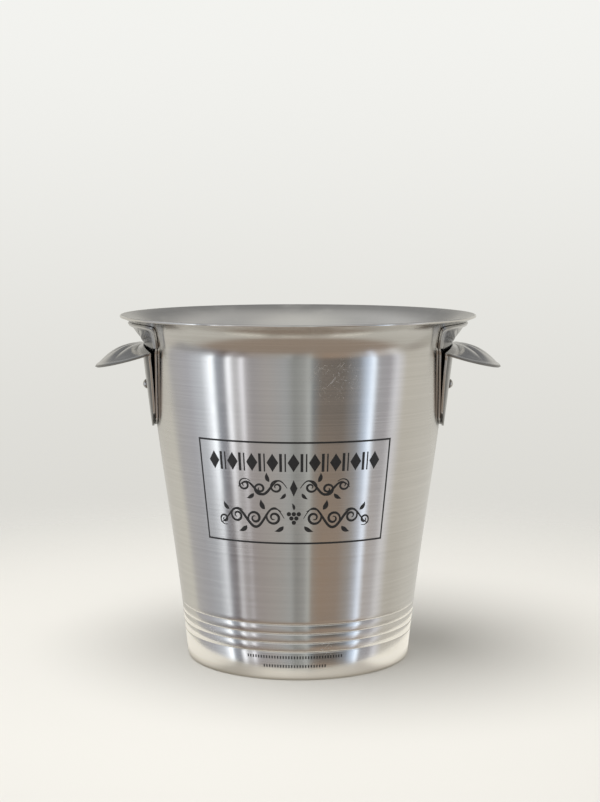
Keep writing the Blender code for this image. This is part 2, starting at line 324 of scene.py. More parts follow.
class FinishBench:
    """A node tree being filled, for a material or for the studio's surroundings."""

    SCRATCH_EDGE = 0.05

    def __init__(self, owner: Any) -> None:
        """Start with the owner's empty node tree.

        Args:
            owner: A material or a world.
        """
        owner.use_nodes = True
        self.tree = owner.node_tree
        self.tree.nodes.clear()

    def add(self, kind: str, settings: dict[str, Any], inputs: dict[Any, Any]) -> bpy.types.Node:
        """Add one node.

        Args:
            kind: The node's type.
            settings: Its properties; "stops" fills a ramp with (place, colour) pairs.
            inputs: Values, sockets or Values of its input sockets, by name or place.

        Returns:
            The node.
        """
        node = self.tree.nodes.new(kind)
        for key, value in settings.items():
            if key == "stops":
                self._fill_ramp(node.color_ramp, value)
            else:
                setattr(node, key, value)
        for key, value in inputs.items():
            socket = node.inputs[key]
            if isinstance(value, Value):
                self.tree.links.new(value.socket, socket)
            elif isinstance(value, bpy.types.NodeSocket):
                self.tree.links.new(value, socket)
            elif socket.type == "RGBA":
                socket.default_value = (*value, 1.0)
            else:
                socket.default_value = value
        return node

    @staticmethod
    def _fill_ramp(ramp: bpy.types.ColorRamp, stops: Sequence[tuple[float, Colour]]) -> None:
        """Give a colour ramp its stops, in rising order.

        Args:
            ramp: The ramp to fill.
            stops: Its places from 0 to 1, each with its colour.
        """
        ramp.elements[0].position, ramp.elements[1].position = 0.0, 1.0
        for place, colour in stops[1:-1]:
            ramp.elements.new(place).color = (*colour, 1.0)
        ramp.elements[0].position, ramp.elements[-1].position = stops[0][0], stops[-1][0]
        ramp.elements[0].color = (*stops[0][1], 1.0)
        ramp.elements[-1].color = (*stops[-1][1], 1.0)

    def number(self, kind: str, settings: dict[str, Any], inputs: dict[Any, Any]) -> Value:
        """Add a node and take its first output as a number."""
        return Value(self, self.add(kind, settings, inputs).outputs[0])

    def place(self) -> bpy.types.NodeSocket:
        """The point on the piece, in object coordinates."""
        return self.add("ShaderNodeTexCoord", {}, {}).outputs["Object"]

    def attribute(self, name: str) -> Value:
        """A number that the piece's own corners carry."""
        return self.number("ShaderNodeAttribute", {"attribute_name": name}, {})

    def axes(self, vector: Any) -> tuple[Value, Value, Value]:
        """Split a vector into its three numbers."""
        node = self.add("ShaderNodeSeparateXYZ", {}, {0: vector})
        return tuple(Value(self, output) for output in node.outputs)

    def stretched(self, scale: Sequence[float], turn: Sequence[float] = (0, 0, 0)) -> bpy.types.NodeSocket:
        """Object coordinates, turned and then scaled axis by axis."""
        turned = self.add("ShaderNodeMapping", {}, {"Vector": self.place(), "Rotation": turn})
        return self.add("ShaderNodeMapping", {}, {"Vector": turned.outputs[0], "Scale": scale}).outputs[0]

    def noise(self, vector: Any, detail: float = 2.0, roughness: float = 0.5) -> Value:
        """Even noise of unit scale on a vector."""
        inputs = {"Vector": vector, "Scale": 1.0, "Detail": detail, "Roughness": roughness}
        return self.number("ShaderNodeTexNoise", {}, inputs)

    def blend(self, factor: Any, first: Any, second: Any) -> bpy.types.NodeSocket:
        """Mix two colours."""
        node = self.add("ShaderNodeMix", {"data_type": "RGBA"}, {0: factor, 6: first, 7: second})
        return node.outputs[2]

    def near(self, centre: Sequence[float], radius: float) -> Value:
        """1 at a point of the piece, easing to 0 at a radius."""
        node = self.add("ShaderNodeVectorMath", {"operation": "DISTANCE"}, {0: self.place(), 1: centre})
        return 1 - Value(self, node.outputs["Value"]).step(0.0, radius)

    def scratches(self, turn: Sequence[float], fineness: float, length: float, level: float) -> Value:
        """Short straight scratches along one direction.

        Args:
            turn: Turn of the scratches' direction, in radians.
            fineness: Scratches per metre, across them.
            length: Scratches per metre, along them.
            level: Noise level above which a scratch shows.

        Returns:
            1 on a scratch and 0 off it.
        """
        lines = self.noise(self.stretched((length, fineness, fineness), turn), 1.0)
        return lines.step(level, level + self.SCRATCH_EDGE)

    @staticmethod
    def total(values: Sequence[Value]) -> Value:
        """Sum of one or more numbers."""
        return sum(values[1:], values[0])

    def bump(self, height: Any, depth: float) -> bpy.types.NodeSocket:
        """Normal of a surface whose height of 0 to 1 is a depth in metres."""
        return self.add("ShaderNodeBump", {}, {"Height": height, "Distance": depth}).outputs[0]

    def close(self, principled: dict[str, Any]) -> None:
        """Add the Principled shader with its inputs and join it to the output."""
        shader = self.add("ShaderNodeBsdfPrincipled", {}, principled)
        self.add("ShaderNodeOutputMaterial", {}, {"Surface": shader.outputs[0]})


@dataclass(frozen=True)
class Finish:
    """A finish that is mixed on a bench."""

    name: str

    def mix(self, bench: FinishBench) -> dict[str, Any]:
        """Inputs of the Principled shader."""
        raise NotImplementedError

    def make(self) -> bpy.types.Material:
        """Build the material.

        Returns:
            The material, named for its finish.
        """
        material = bpy.data.materials.new(self.name)
        bench = FinishBench(material)
        bench.close(self.mix(bench))
        return material


@dataclass(frozen=True)
class SpunAluminium(Finish):
    """Outside of the body: bright metal with fine turning lines, smudges and a few scuffs."""

    name: str = "spun_aluminium"
    bright: Colour = (0.88, 0.87, 0.85)
    dull: Colour = (0.77, 0.76, 0.74)
    scuffed: Colour = (0.95, 0.95, 0.95)
    roughness: float = 0.13
    anisotropy: float = 0.88
    line_depth: float = 0.000012
    # Middle and radius of each scuffed spot, and of the unpolished wall behind each handle, in metres.
    scuff_spots: tuple[Spot, ...] = (
        ((0.021, -0.087, 0.178), 0.022),
        ((-0.052, -0.050, 0.021), 0.013),
        ((0.017, -0.068, 0.019), 0.009),
        ((0.064, -0.036, 0.020), 0.014),
    )
    behind_handles: tuple[Spot, ...] = (((0.09, 0.0, 0.165), 0.075), ((-0.09, 0.0, 0.165), 0.075))
    # Slope on the front in radians, scratches per metre across and along, and noise level of each set.
    scratch_sets: tuple[tuple[float, float, float, float], ...] = (
        (0.9, 1500, 70, 0.66),
        (-0.35, 1300, 90, 0.67),
        (2.2, 1700, 110, 0.68),
    )

    def mix(self, bench: FinishBench) -> dict[str, Any]:
        """Mix the turning lines, smudges and scuffs.

        Args:
            bench: The bench to mix on.

        Returns:
            Inputs of the Principled shader.
        """
        fine = bench.noise(bench.stretched(FINE_LINES), 1.0)
        medium = bench.noise(bench.stretched((3, 3, 700)), 2.0)
        bands = bench.noise(bench.stretched((1.5, 1.5, 90)), 2.0)
        smudges = bench.noise(bench.stretched((26, 26, 16)), 4.0, 0.6)
        handled = smudges.step(0.48, 0.72)
        turning = (0.35 * fine + 0.40 * medium + 0.25 * bands).step(0.22, 0.78)
        spots = bench.total([bench.near(*spot) for spot in self.scuff_spots])
        marks = bench.total([bench.scratches((0, slope, 0), *rest) for slope, *rest in self.scratch_sets])
        rubs = bench.noise(bench.stretched((160, 160, 160)), 4.0, 0.7).step(0.60, 0.75)
        scuffs = (spots * (marks + 0.4 * rubs)).step(0.0, 1.0)
        unpolished = bench.total([bench.near(*spot) for spot in self.behind_handles])
        roughness = self.roughness + 0.06 * turning + 0.05 * handled + 0.40 * scuffs + 0.30 * unpolished
        return {
            "Base Color": bench.blend(scuffs, bench.blend(turning, self.dull, self.bright), self.scuffed),
            "Metallic": 1.0,
            "Roughness": roughness,
            "Anisotropic": self.anisotropy,
            "Anisotropic Rotation": QUARTER_TURN,
            "Normal": bench.bump(0.7 * fine + 0.3 * medium - 0.4 * scuffs, self.line_depth),
        }


@dataclass(frozen=True)
class BrushedInside(Finish):
    """Inside of the body: an even, duller grey with soft marks from use."""

    name: str = "brushed_inside"
    light: Colour = (0.90, 0.89, 0.86)
    dark: Colour = (0.78, 0.77, 0.75)
    roughness: float = 0.34
    anisotropy: float = 0.6
    line_depth: float = 0.00002

    def mix(self, bench: FinishBench) -> dict[str, Any]:
        """Mix the faint lines and the wear.

        Args:
            bench: The bench to mix on.

        Returns:
            Inputs of the Principled shader.
        """
        lines = bench.noise(bench.stretched((4, 4, 900)), 2.0)
        marks = bench.noise(bench.stretched((60, 60, 60)), 5.0, 0.6)
        worn = marks.step(0.45, 0.75)
        return {
            "Base Color": bench.blend(0.5 * lines + 0.5 * worn, self.dark, self.light),
            "Metallic": 1.0,
            "Roughness": self.roughness + 0.12 * worn + 0.06 * lines,
            "Anisotropic": self.anisotropy,
            "Anisotropic Rotation": QUARTER_TURN,
            "Normal": bench.bump(0.6 * lines + 0.4 * marks, self.line_depth),
        }


@dataclass(frozen=True)
class PressedAluminium(Finish):
    """Polished stampings, darkened by dirt and painted shade in their valleys, under their rolled rim and on
    their strip, and lightened by rubbing and painted highlights on their rims, ridges and strip edges.
    """

    clean: Colour = (0.44, 0.44, 0.44)
    # Colour where dirt and painted shade darken the plate.
    grimy_and_shaded: Colour = (0.08, 0.078, 0.075)
    # Colour of the rims, lightened partly by rubbing and partly by painted highlights.
    rubbed_and_highlit: Colour = (0.80, 0.80, 0.80)
    roughness: float = 0.12
    wear_depth: float = 0.000004

    def mix(self, bench: FinishBench) -> dict[str, Any]:
        """Mix the dirt and painted shade of the valleys, the rubbing and painted highlights of the rims, and
        the fine wear.

        Args:
            bench: The bench to mix on.

        Returns:
            Inputs of the Principled shader.
        """
        valley = bench.attribute(PressedPlate.VALLEY)
        rim = bench.attribute(PressedPlate.RIM)
        cloud = bench.noise(bench.stretched((90, 90, 90)), 4.0, 0.6)
        fine = bench.scratches((0.3, 0.2, 0.8), 2600, 60, 0.58)
        cross = bench.scratches((0.9, 0.4, -0.6), 2200, 80, 0.61)
        # Dirt and painted shade, from the valley attribute, darken the valleys, the rolled-under rim and the
        # strip.
        grime_and_shade = valley * (0.70 + 0.30 * cloud)
        colour = bench.blend(grime_and_shade.step(0.0, 1.0), self.clean, self.grimy_and_shaded)
        # Rubbing and painted highlights lighten the rims, and painted highlights lighten the flutes'
        # shoulders and the strip's edges.
        colour = bench.blend(rim * 0.8, colour, self.rubbed_and_highlit)
        worn = fine + cross
        roughness = self.roughness + 0.05 * cloud + 0.08 * worn + 0.15 * grime_and_shade - 0.04 * rim
        return {
            "Base Color": colour,
            "Metallic": 1.0,
            "Roughness": roughness,
            "Normal": bench.bump(0.5 * cloud - 0.5 * worn, self.wear_depth),
        }


@dataclass(frozen=True)
class RivetMetal(Finish):
    """Bright cold-headed rivet metal, darkened round the head's edge by painted shade and dirt."""

    name: str = "rivet_aluminium"
    bright: Colour = (0.74, 0.74, 0.73)
    # Colour of the painted shade and dirt round the head's edge.
    dark: Colour = (0.30, 0.29, 0.28)
    roughness: float = 0.2
    pit_depth: float = 0.00002

    def mix(self, bench: FinishBench) -> dict[str, Any]:
        """Mix the pits and the painted shade and dirt round the head's edge.

        Args:
            bench: The bench to mix on.

        Returns:
            Inputs of the Principled shader.
        """
        edge = bench.attribute(Rivet.EDGE)
        pits = bench.noise(bench.stretched((1400, 1400, 1400)), 3.0, 0.6)
        cloud = bench.noise(bench.stretched((500, 500, 500)), 2.0)
        # Painted shade and dirt round the head's edge, where it meets the plate.
        grime_and_shade = edge * (0.5 + 0.7 * cloud)
        return {
            "Base Color": bench.blend(grime_and_shade.step(0.1, 0.9), self.bright, self.dark),
            "Metallic": 1.0,
            "Roughness": self.roughness + 0.12 * cloud + 0.15 * grime_and_shade,
            "Normal": bench.bump(pits, self.pit_depth),
        }


@dataclass(frozen=True)
class PrintedInk(Finish):
    """Baked black ink: satin, faintly uneven, with pinholes."""

    name: str = "black_ink"
    black: Colour = (0.012, 0.012, 0.013)
    thin: Colour = (0.05, 0.05, 0.05)
    roughness: float = 0.36
    film_depth: float = 0.000006

    def mix(self, bench: FinishBench) -> dict[str, Any]:
        """Mix the uneven film, its pinholes and the turning lines that show through.

        Args:
            bench: The bench to mix on.

        Returns:
            Inputs of the Principled shader.
        """
        film = bench.noise(bench.stretched((700, 700, 700)), 3.0, 0.6)
        lines = bench.noise(bench.stretched(FINE_LINES), 1.0)
        pinholes = bench.noise(bench.stretched((1900, 1900, 1900)), 1.0).step(0.66, 0.74)
        return {
            "Base Color": bench.blend(0.5 * film + 0.5 * pinholes, self.black, self.thin),
            "Roughness": self.roughness + 0.12 * film + 0.2 * pinholes,
            "Normal": bench.bump(0.5 * film + 0.5 * lines, self.film_depth),
        }


# ---------------------------------------------------------------- body


@dataclass(frozen=True)
class WallShape:
    """Outside of the turned wall: a tapered, faintly swayed wall and an arc that flares to the lip."""

    height: float
    rim_radius: float
    flare_height: float = 0.0208
    flare_spread: float = 0.0165
    base_radius: float = 0.0676
    sway: float = 0.0005
    thickness: float = 0.0015
    flare_repeats: int = 20

    @property
    def neck_height(self) -> float:
        """Height where the wall starts to flare."""
        return self.height - self.flare_height

    @property
    def neck_radius(self) -> float:
        """Radius where the wall starts to flare."""
        return self.rim_radius - self.flare_spread

    @property
    def lip_radius(self) -> float:
        """Radius of the rounded lip."""
        return self.thickness / 2

    def slope(self, z: float) -> float:
        """Outward slope of the tapered wall at a height.

        Args:
            z: Height on the wall, below the neck.

        Returns:
            Gain in radius per metre of height.
        """
        turn = 2 * math.pi / self.neck_height
        taper = (self.neck_radius - self.base_radius) / self.neck_height
        return taper - self.sway * turn * math.cos(turn * z)

    @cached_property
    def flare(self) -> tuple[float, float, float]:
        """Start lean, end lean and radius of the arc from the neck to the lip.

        Returns:
            The two leans in radians and the radius in metres.
        """
        start = math.atan(self.slope(self.neck_height))
        end = math.pi / 3
        for _ in range(self.flare_repeats):
            spread = self.rim_radius - self.lip_radius * (1 - math.cos(end)) - self.neck_radius
            rise = self.height - self.lip_radius * (1 + math.sin(end)) - self.neck_height
            chord = math.atan2(spread, rise)
            end = 2 * chord - start
        return start, end, math.hypot(rise, spread) / (2 * math.sin(chord - start))

    def outside(self, z: float) -> Point:
        """Radius and lean of the outside at a height.

        Args:
            z: Height on the wall or its flare.

        Returns:
            The radius, and the wall's lean from upright in radians.
        """
        if z <= self.neck_height:
            u = z / self.neck_height
            radius = self.base_radius + (self.neck_radius - self.base_radius) * u
            return radius - self.sway * math.sin(2 * math.pi * u), math.atan(self.slope(z))
        start, _, arc = self.flare
        lean = math.asin(math.sin(start) + (z - self.neck_height) / arc)
        return self.neck_radius + arc * (math.cos(start) - math.cos(lean)), lean

    def offset(self, z: float, distance: float) -> Point:
        """Radius and height at a distance square off the outside, outward positive."""
        radius, lean = self.outside(z)
        return radius + distance * math.cos(lean), z - distance * math.sin(lean)

    def front(self, azimuth: float, z: float, proud: float) -> Vector:
        """Point off the wall at an azimuth from -Y towards +X.

        Args:
            azimuth: Angle from the front, in radians.
            z: Height on the wall.
            proud: Distance square off the wall.

        Returns:
            The point.
        """
        radius, height = self.offset(z, proud)
        return Vector((radius * math.sin(azimuth), -radius * math.cos(azimuth), height))


@dataclass
class BucketBody:
    """The spun body: one sheet with a recessed base, four turned grooves and a rounded lip."""

    wall: WallShape
    corner: float = 0.0020
    panel_radius: float = 0.0540
    panel_step: float = 0.0030
    panel_rise: float = 0.0010
    groove_count: int = 4
    groove_top: float = 0.0335
    groove_pitch: float = 0.0055
    groove_width: float = 0.0014
    groove_depth: float = 0.00028
    groove_steps: int = 10
    wall_steps: int = 30
    flare_steps: int = 22
    lip_steps: int = 14
    corner_steps: int = 10
    segments: int = 192
    low_stations: tuple[float, float] = (0.010, 0.020)
    foot_station: float = 0.008
    drill_length: float = 0.012

    @staticmethod
    def arc(centre: Point, radius: float, first: float, last: float, steps: int) -> list[Point]:
        """Points of an arc in the section, both ends included."""
        angles = [first + (last - first) * share for share in shares(steps)]
        return [(centre[0] + radius * math.cos(a), centre[1] + radius * math.sin(a)) for a in angles]

    def grooves(self) -> list[Point]:
        """Outside points of the grooves, from the top one down.

        Returns:
            The points, as radius and height.
        """
        points = []
        for i in range(self.groove_count):
            for share in shares(self.groove_steps):
                across = 1 - 2 * share
                depth = self.groove_depth * math.cos(across * math.pi / 2) ** 1.5
                z = self.groove_top - i * self.groove_pitch + across * self.groove_width / 2
                points.append(self.wall.offset(z, -depth))
        return points

    def profile(self) -> list[Point]:
        """Section of the body: up the inside from the axis, over the lip and down the outside.

        Returns:
            The section's points, from axis to axis.
        """
        wall = self.wall
        thick = wall.thickness
        lean = math.atan(wall.slope(0))
        centre = (wall.base_radius - self.corner * (1 - math.sin(lean)) / math.cos(lean), self.corner)
        outer_corner = self.arc(centre, self.corner, -lean, -math.pi / 2, self.corner_steps)
        inner_corner = self.arc(centre, self.corner - thick, -math.pi / 2, -lean, self.corner_steps)
        low = self.groove_top + 2 * self.groove_width
        heights = [low + (wall.neck_height - low) * share for share in shares(self.wall_steps)]
        start, end, arc = wall.flare
        turns = [start + (end - start) * share for share in shares(self.flare_steps)[1:]]
        heights += [wall.neck_height + arc * (math.sin(turn) - math.sin(start)) for turn in turns]
        inner_floor = self.panel_rise + thick
        points = [
            (0.0, inner_floor),
            (self.panel_radius / 2, inner_floor),
            (self.panel_radius - thick, inner_floor),
            (self.panel_radius + self.panel_step - thick, thick),
        ]
        points += inner_corner
        points += [wall.offset(z, -thick) for z in (*self.low_stations, *heights)]
        lip_centre = wall.offset(heights[-1], -wall.lip_radius)
        points += self.arc(lip_centre, wall.lip_radius, math.pi - end, -end, self.lip_steps)[1:-1]
        points += [wall.offset(z, 0) for z in reversed(heights)]
        points += self.grooves()
        points += [wall.offset(self.foot_station, 0)]
        points += outer_corner
        points += [
            (self.panel_radius + self.panel_step, 0.0),
            (self.panel_radius, self.panel_rise),
            (self.panel_radius / 2, self.panel_rise),
            (0.0, self.panel_rise),
        ]
        return points

    def build(self, holes: Sequence[tuple[float, Matrix]]) -> bpy.types.Object:
        """Turn the body and drill its rivet holes.

        Args:
            holes: Radius and place of each rivet hole.

        Returns:
            The finished body.
        """
        piece = Workshop.turn("spun_bucket_body", self.profile(), self.segments)
        for radius, place in holes:
            Workshop.drill(piece, radius, place, self.drill_length)
        Workshop.soften(piece)
        return piece

    def dress(self, piece: bpy.types.Object) -> None:
        """Give the outside and the inside their own finish.

        Args:
            piece: The finished body.
        """
        Workshop.paint(piece, SpunAluminium().make(), BrushedInside().make())
        half = self.wall.thickness / 2
        for face in piece.data.polygons:
            centre = face.center
            middle = self.wall.offset(min(centre.z, self.wall.height - 2 * half), -half)[0]
            inside = math.hypot(centre.x, centre.y) < middle and centre.z > self.panel_rise + half
            face.material_index = 1 if inside else 0


# ---------------------------------------------------------------- handles


@dataclass
class PressedPlate:
    """A stamping cut as a flat blank, a half disc over a strip, and pressed to its shape."""

    VALLEY = "valley"
    RIM = "rim"

    wall: WallShape
    gap: float = 0.0003
    sheet: float = 0.0012
    hinge_over_neck: float = 0.0037
    tongue_length: float = 0.0482
    flute_step: float = math.radians(25)
    flute_height: float = 0.0008
    flute_end: float = 0.90
    flute_swell: float = 1.4
    flutes: int = 5
    shoulder_at: float = 0.45
    shoulder_spread: float = 0.13
    rays: int = 144
    open_stations: int = 22
    rim_stations: int = 16
    strip_rows: int = 44
    strip_spacing: float = 1.4
    strip_swell: float = 1.4
    # How dark the strip is made by painted shade and dirt.
    strip_shade_and_grime: float = 0.5
    # How dark the painted shade under the rolled rim is.
    rolled_edge_shade: float = 0.0
    edge_bevel: float = 0.00028
    drill_length: float = 0.020
    flute_margin: float = 0.2
    valley_sharpness: int = 6
    valley_swell: float = 0.8
    rim_band: float = 0.02
    under_start: float = 0.965
    under_end: float = 0.99
    # How strong the painted highlights on the flutes' shoulders are.
    ridge_highlight: float = 0.7
    # Share of the strip's half width where the painted highlight along its edges starts.
    strip_edge: float = 0.975
    # Share of the strip's painted shade and dirt left in its middle; it grows towards the sides.
    middle_shade_and_grime: float = 0.12

    @property
    def hinge(self) -> float:
        """Height where the half shell leaves the strip."""
        return self.wall.neck_height + self.hinge_over_neck

    @property
    def foot(self) -> float:
        """Height of the strip's foot."""
        return self.hinge - self.tongue_length

    def shell_point(self, angle: float, share: float) -> Vector:
        """Point of the pressed half shell at an angle and a share of its radius."""
        raise NotImplementedError

    def strip_point(self, side: float, share: float) -> Vector:
        """Point of the pressed strip at a share of its half width and of its length."""
        raise NotImplementedError

    def stations(self) -> list[float]:
        """Shares of the radius where the blank has rings, close together at the rim.

        Returns:
            The shares, from 0 to 1.
        """
        open_part = [self.flute_end * share for share in shares(self.open_stations)]
        rim_part = [self.flute_end + (1 - self.flute_end) * share for share in shares(self.rim_stations)]
        return open_part + rim_part[1:]

    def fluted(self, angle: float, share: float) -> bool:
        """Whether a place of the shell lies among the flutes, or just beside them."""
        widest = (self.flutes / 2 + self.flute_margin) * self.flute_step
        return abs(angle) <= widest and share < self.flute_end

    def crest(self, angle: float) -> float:
        """1 on the crest of a flute and 0 in the valley between two."""
        return abs(math.cos(math.pi * angle / self.flute_step))

    def flute(self, angle: float, share: float) -> float:
        """Height of the flutes at an angle and a share of the radius.

        Args:
            angle: Angle from the shell's own axis, in radians.
            share: Share of the radius, from the hinge's middle out.

        Returns:
            The height in metres, 0 beyond the flutes.
        """
        if abs(angle) >= self.flutes / 2 * self.flute_step or share >= self.flute_end:
            return 0.0
        rise = math.sin(math.pi * (share / self.flute_end) ** self.flute_swell)
        return self.flute_height * rise * self.crest(angle)

    def valley(self, angle: float, share: float) -> float:
        """1 in the bottom of a flute's valley, easing to 0 on its back.

        Args:
            angle: Angle from the shell's own axis, in radians.
            share: Share of the radius, from the hinge's middle out.

        Returns:
            The depth into the valley, from 0 to 1.
        """
        if not self.fluted(angle, share):
            return 0.0
        deep = (1 - self.crest(angle)) ** self.valley_sharpness
        return deep * math.sin(math.pi * (share / self.flute_end) ** self.valley_swell)

    def ridge(self, angle: float, share: float) -> float:
        """1 on the shoulders of a flute, beside its valleys, where painted highlights lie.

        Args:
            angle: Angle from the shell's own axis, in radians.
            share: Share of the radius, from the hinge's middle out.

        Returns:
            How much painted highlight the place takes, from 0 to 1.
        """
        if not self.fluted(angle, share):
            return 0.0
        side = (self.crest(angle) - self.shoulder_at) / self.shoulder_spread
        return math.exp(-side * side) * math.sin(math.pi * share / self.flute_end)

    def strip_half_width(self, z: float, top: float, bottom: float, wide: float, narrow: float) -> float:
        """Half width of the strip at a height between its top and its foot."""
        u = (z - bottom) / (top - bottom)
        return narrow + (wide - narrow) * u * (self.strip_swell - (self.strip_swell - 1) * u)

    @staticmethod
    def foot_lift(side: float, half_width: float, corner: float) -> float:
        """How far the rounded corner of the strip's foot rises at a share of its half width."""
        into = min(corner, max(0.0, abs(side) * half_width - (half_width - corner)))
        return corner - math.sqrt(corner * corner - into * into)

    def blank(self, name: str) -> bpy.types.Object:
        """Cut the flat blank: a line spun into a half disc, its straight edge drawn out to a strip.

        Args:
            name: Name of the piece.

        Returns:
            The blank, 1 in radius, with its half disc towards +X.
        """
        piece = Workshop.draw(name, [(0.0, -share, 0.0) for share in self.stations()])
        bpy.ops.mesh.spin(steps=self.rays, angle=math.pi, center=(0, 0, 0), axis=(0, 0, 1))
        bpy.ops.mesh.select_all(action="SELECT")
        bpy.ops.mesh.remove_doubles(threshold=MERGE)
        bpy.ops.object.mode_set(mode="OBJECT")
        if max(v.co.x for v in piece.data.vertices) < 0.5:
            for vertex in piece.data.vertices:
                vertex.co.x = -vertex.co.x
        for vertex in piece.data.vertices:
            vertex.select = abs(vertex.co.x) < MERGE
        for edge in piece.data.edges:
            edge.select = all(abs(piece.data.vertices[i].co.x) < MERGE for i in edge.vertices)
        for face in piece.data.polygons:
            face.select = False
        bpy.ops.object.mode_set(mode="EDIT")
        bpy.ops.mesh.select_mode(type="EDGE")
        for _ in range(self.strip_rows):
            step = {"value": (-1.0 / self.strip_rows, 0.0, 0.0)}
            bpy.ops.mesh.extrude_edges_move(TRANSFORM_OT_translate=step)
        bpy.ops.mesh.select_all(action="SELECT")
        bpy.ops.mesh.normals_make_consistent(inside=False)
        bpy.ops.object.mode_set(mode="OBJECT")
        return piece

    def press(self, piece: bpy.types.Object) -> None:
        """Press the blank to its shape, and note where its valleys and its rim are: where dirt and painted
        shade darken it, and where rubbing and painted highlights lighten it.

        Args:
            piece: The flat blank.
        """
        valley = piece.data.attributes.new(self.VALLEY, "FLOAT", "POINT")
        rim = piece.data.attributes.new(self.RIM, "FLOAT", "POINT")
        for i, vertex in enumerate(piece.data.vertices):
            x, y = vertex.co.x, vertex.co.y
            if x > -MERGE:
                angle, share = math.atan2(y, max(x, 0.0)), min(1.0, math.hypot(x, y))
                vertex.co = self.shell_point(angle, share)
                edge = smooth(self.flute_end, self.flute_end + self.rim_band, share)
                under = smooth(self.under_start, self.under_end, share)
                # Painted shade under the rolled rim, on top of the dirt and shade of the valleys.
                valley.data[i].value = max(self.valley(angle, share), self.rolled_edge_shade * under)
                # The rim band is partly rubbing and partly painted highlight; the flutes' shoulders take
                # painted highlights.
                rim.data[i].value = max(edge * (1 - under), self.ridge_highlight * self.ridge(angle, share))
            else:
                vertex.co = self.strip_point(y, (-x) ** self.strip_spacing)
                edge = smooth(self.strip_edge, 1.0, abs(y))
                # Painted shade and dirt on the strip, light in its middle and heaviest towards its sides.
                grime_and_shade = self.middle_shade_and_grime + (1 - self.middle_shade_and_grime) * y ** 4
                valley.data[i].value = self.strip_shade_and_grime * grime_and_shade * (1 - edge)
                # Painted highlight along the strip's edges.
                rim.data[i].value = edge
        self.face_wall(piece)

    def face_wall(self, piece: bpy.types.Object) -> None:
        """Turn the sheet's front to the wall, so that its thickness grows away from it.

        Args:
            piece: The pressed sheet.
        """
        middle = min(piece.data.polygons, key=lambda f: (f.center - self.strip_point(0.0, 0.4)).length)
        if middle.normal.x > 0:
            Workshop.take(piece)
            bpy.ops.object.mode_set(mode="EDIT")
            bpy.ops.mesh.select_all(action="SELECT")
            bpy.ops.mesh.flip_normals()
            bpy.ops.object.mode_set(mode="OBJECT")

    def build(self, name: str, hole: tuple[float, Matrix]) -> bpy.types.Object:
        """Cut, press, thicken, round off and drill the plate on the +X side.

        Args:
            name: Name of the piece.
            hole: Radius and place of its rivet hole.

        Returns:
            The finished plate.
        """
        piece = self.blank(name)
        self.press(piece)
        Workshop.modify(piece, "SOLIDIFY", thickness=self.sheet, offset=-1)
        sharp = {"limit_method": "ANGLE", "angle_limit": math.radians(60)}
        Workshop.modify(piece, "BEVEL", width=self.edge_bevel, segments=2, **sharp)
        Workshop.drill(piece, hole[0], hole[1], self.drill_length)
        Workshop.soften(piece, 50)
        return piece


@dataclass
class BackPlate(PressedPlate):
    """The plate against the wall: an upright fluted fan with a raised rim, over a tapered tongue."""

    fan_under_lip: float = 0.0038
    root_half_width: float = 0.0427
    corner_sharpness: float = 16.0
    top_half_width: float = 0.0398
    foot_half_width: float = 0.0214
    foot_corner: float = 0.0050
    shoulder: float = 0.0045
    rim_rise: float = 0.0006
    rim_roll: float = 1.25

    def rim_lift(self, share: float) -> float:
        """How far the fan's rim stands off the wall at a share of the radius."""
        into = (share - self.flute_end) / (1 - self.flute_end)
        return self.rim_rise * math.sin(math.pi * min(1.0, self.rim_roll * into)) if into > 0 else 0.0

    def half_width(self, radius: float) -> float:
        """Half width of the fan where its face lies at a radius.

        Args:
            radius: Distance of the fan's face from the bucket's axis.

        Returns:
            The half width there.
        """
        root = self.wall.offset(self.hinge, self.gap + self.sheet)[0]
        plane = math.sqrt(root ** 2 - self.root_half_width ** 2)
        return math.sqrt(radius ** 2 - plane ** 2)

    def shell_point(self, angle: float, share: float) -> Vector:
        """Point of the fan, a rounded rectangle in shares of its width and height.

        Args:
            angle: Angle from the shell's own axis, in radians.
            share: Share of the radius, from the hinge's middle out.

        Returns:
            The point on the sheet's wall side.
        """
        s, c = math.sin(angle), math.cos(angle)
        power = self.corner_sharpness
        edge = (abs(s) ** power + abs(c) ** power) ** (-1 / power)
        fan_height = self.wall.height - self.fan_under_lip - self.hinge
        station = self.hinge + fan_height * edge * share * c
        y = self.half_width(self.wall.offset(station, self.gap + self.sheet)[0]) * edge * share * s
        lift = self.flute(angle, share) + self.rim_lift(share)
        radius, z = self.wall.offset(station, self.gap + lift)
        return Vector((math.sqrt(radius * radius - y * y), y, z))

    def strip_point(self, side: float, share: float) -> Vector:
        """Point of the tongue that lies on the wall.

        Args:
            side: Share of the half width, from -1 to 1.
            share: Share of the length, from the hinge down.

        Returns:
            The point on the sheet's wall side.
        """
        lift = self.foot_lift(side, self.foot_half_width, self.foot_corner)
        station = self.hinge - (self.hinge - self.foot - lift) * share
        ends = (self.hinge, self.foot, self.top_half_width, self.foot_half_width)
        half = self.strip_half_width(station, *ends)
        fade = max(0.0, 1 - (self.hinge - station) / self.shoulder) ** 2
        y = side * (half + (self.root_half_width - self.top_half_width) * fade)
        radius, z = self.wall.offset(station, self.gap + self.rim_lift(abs(side)) * fade)
        return Vector((math.sqrt(radius * radius - y * y), y, z))


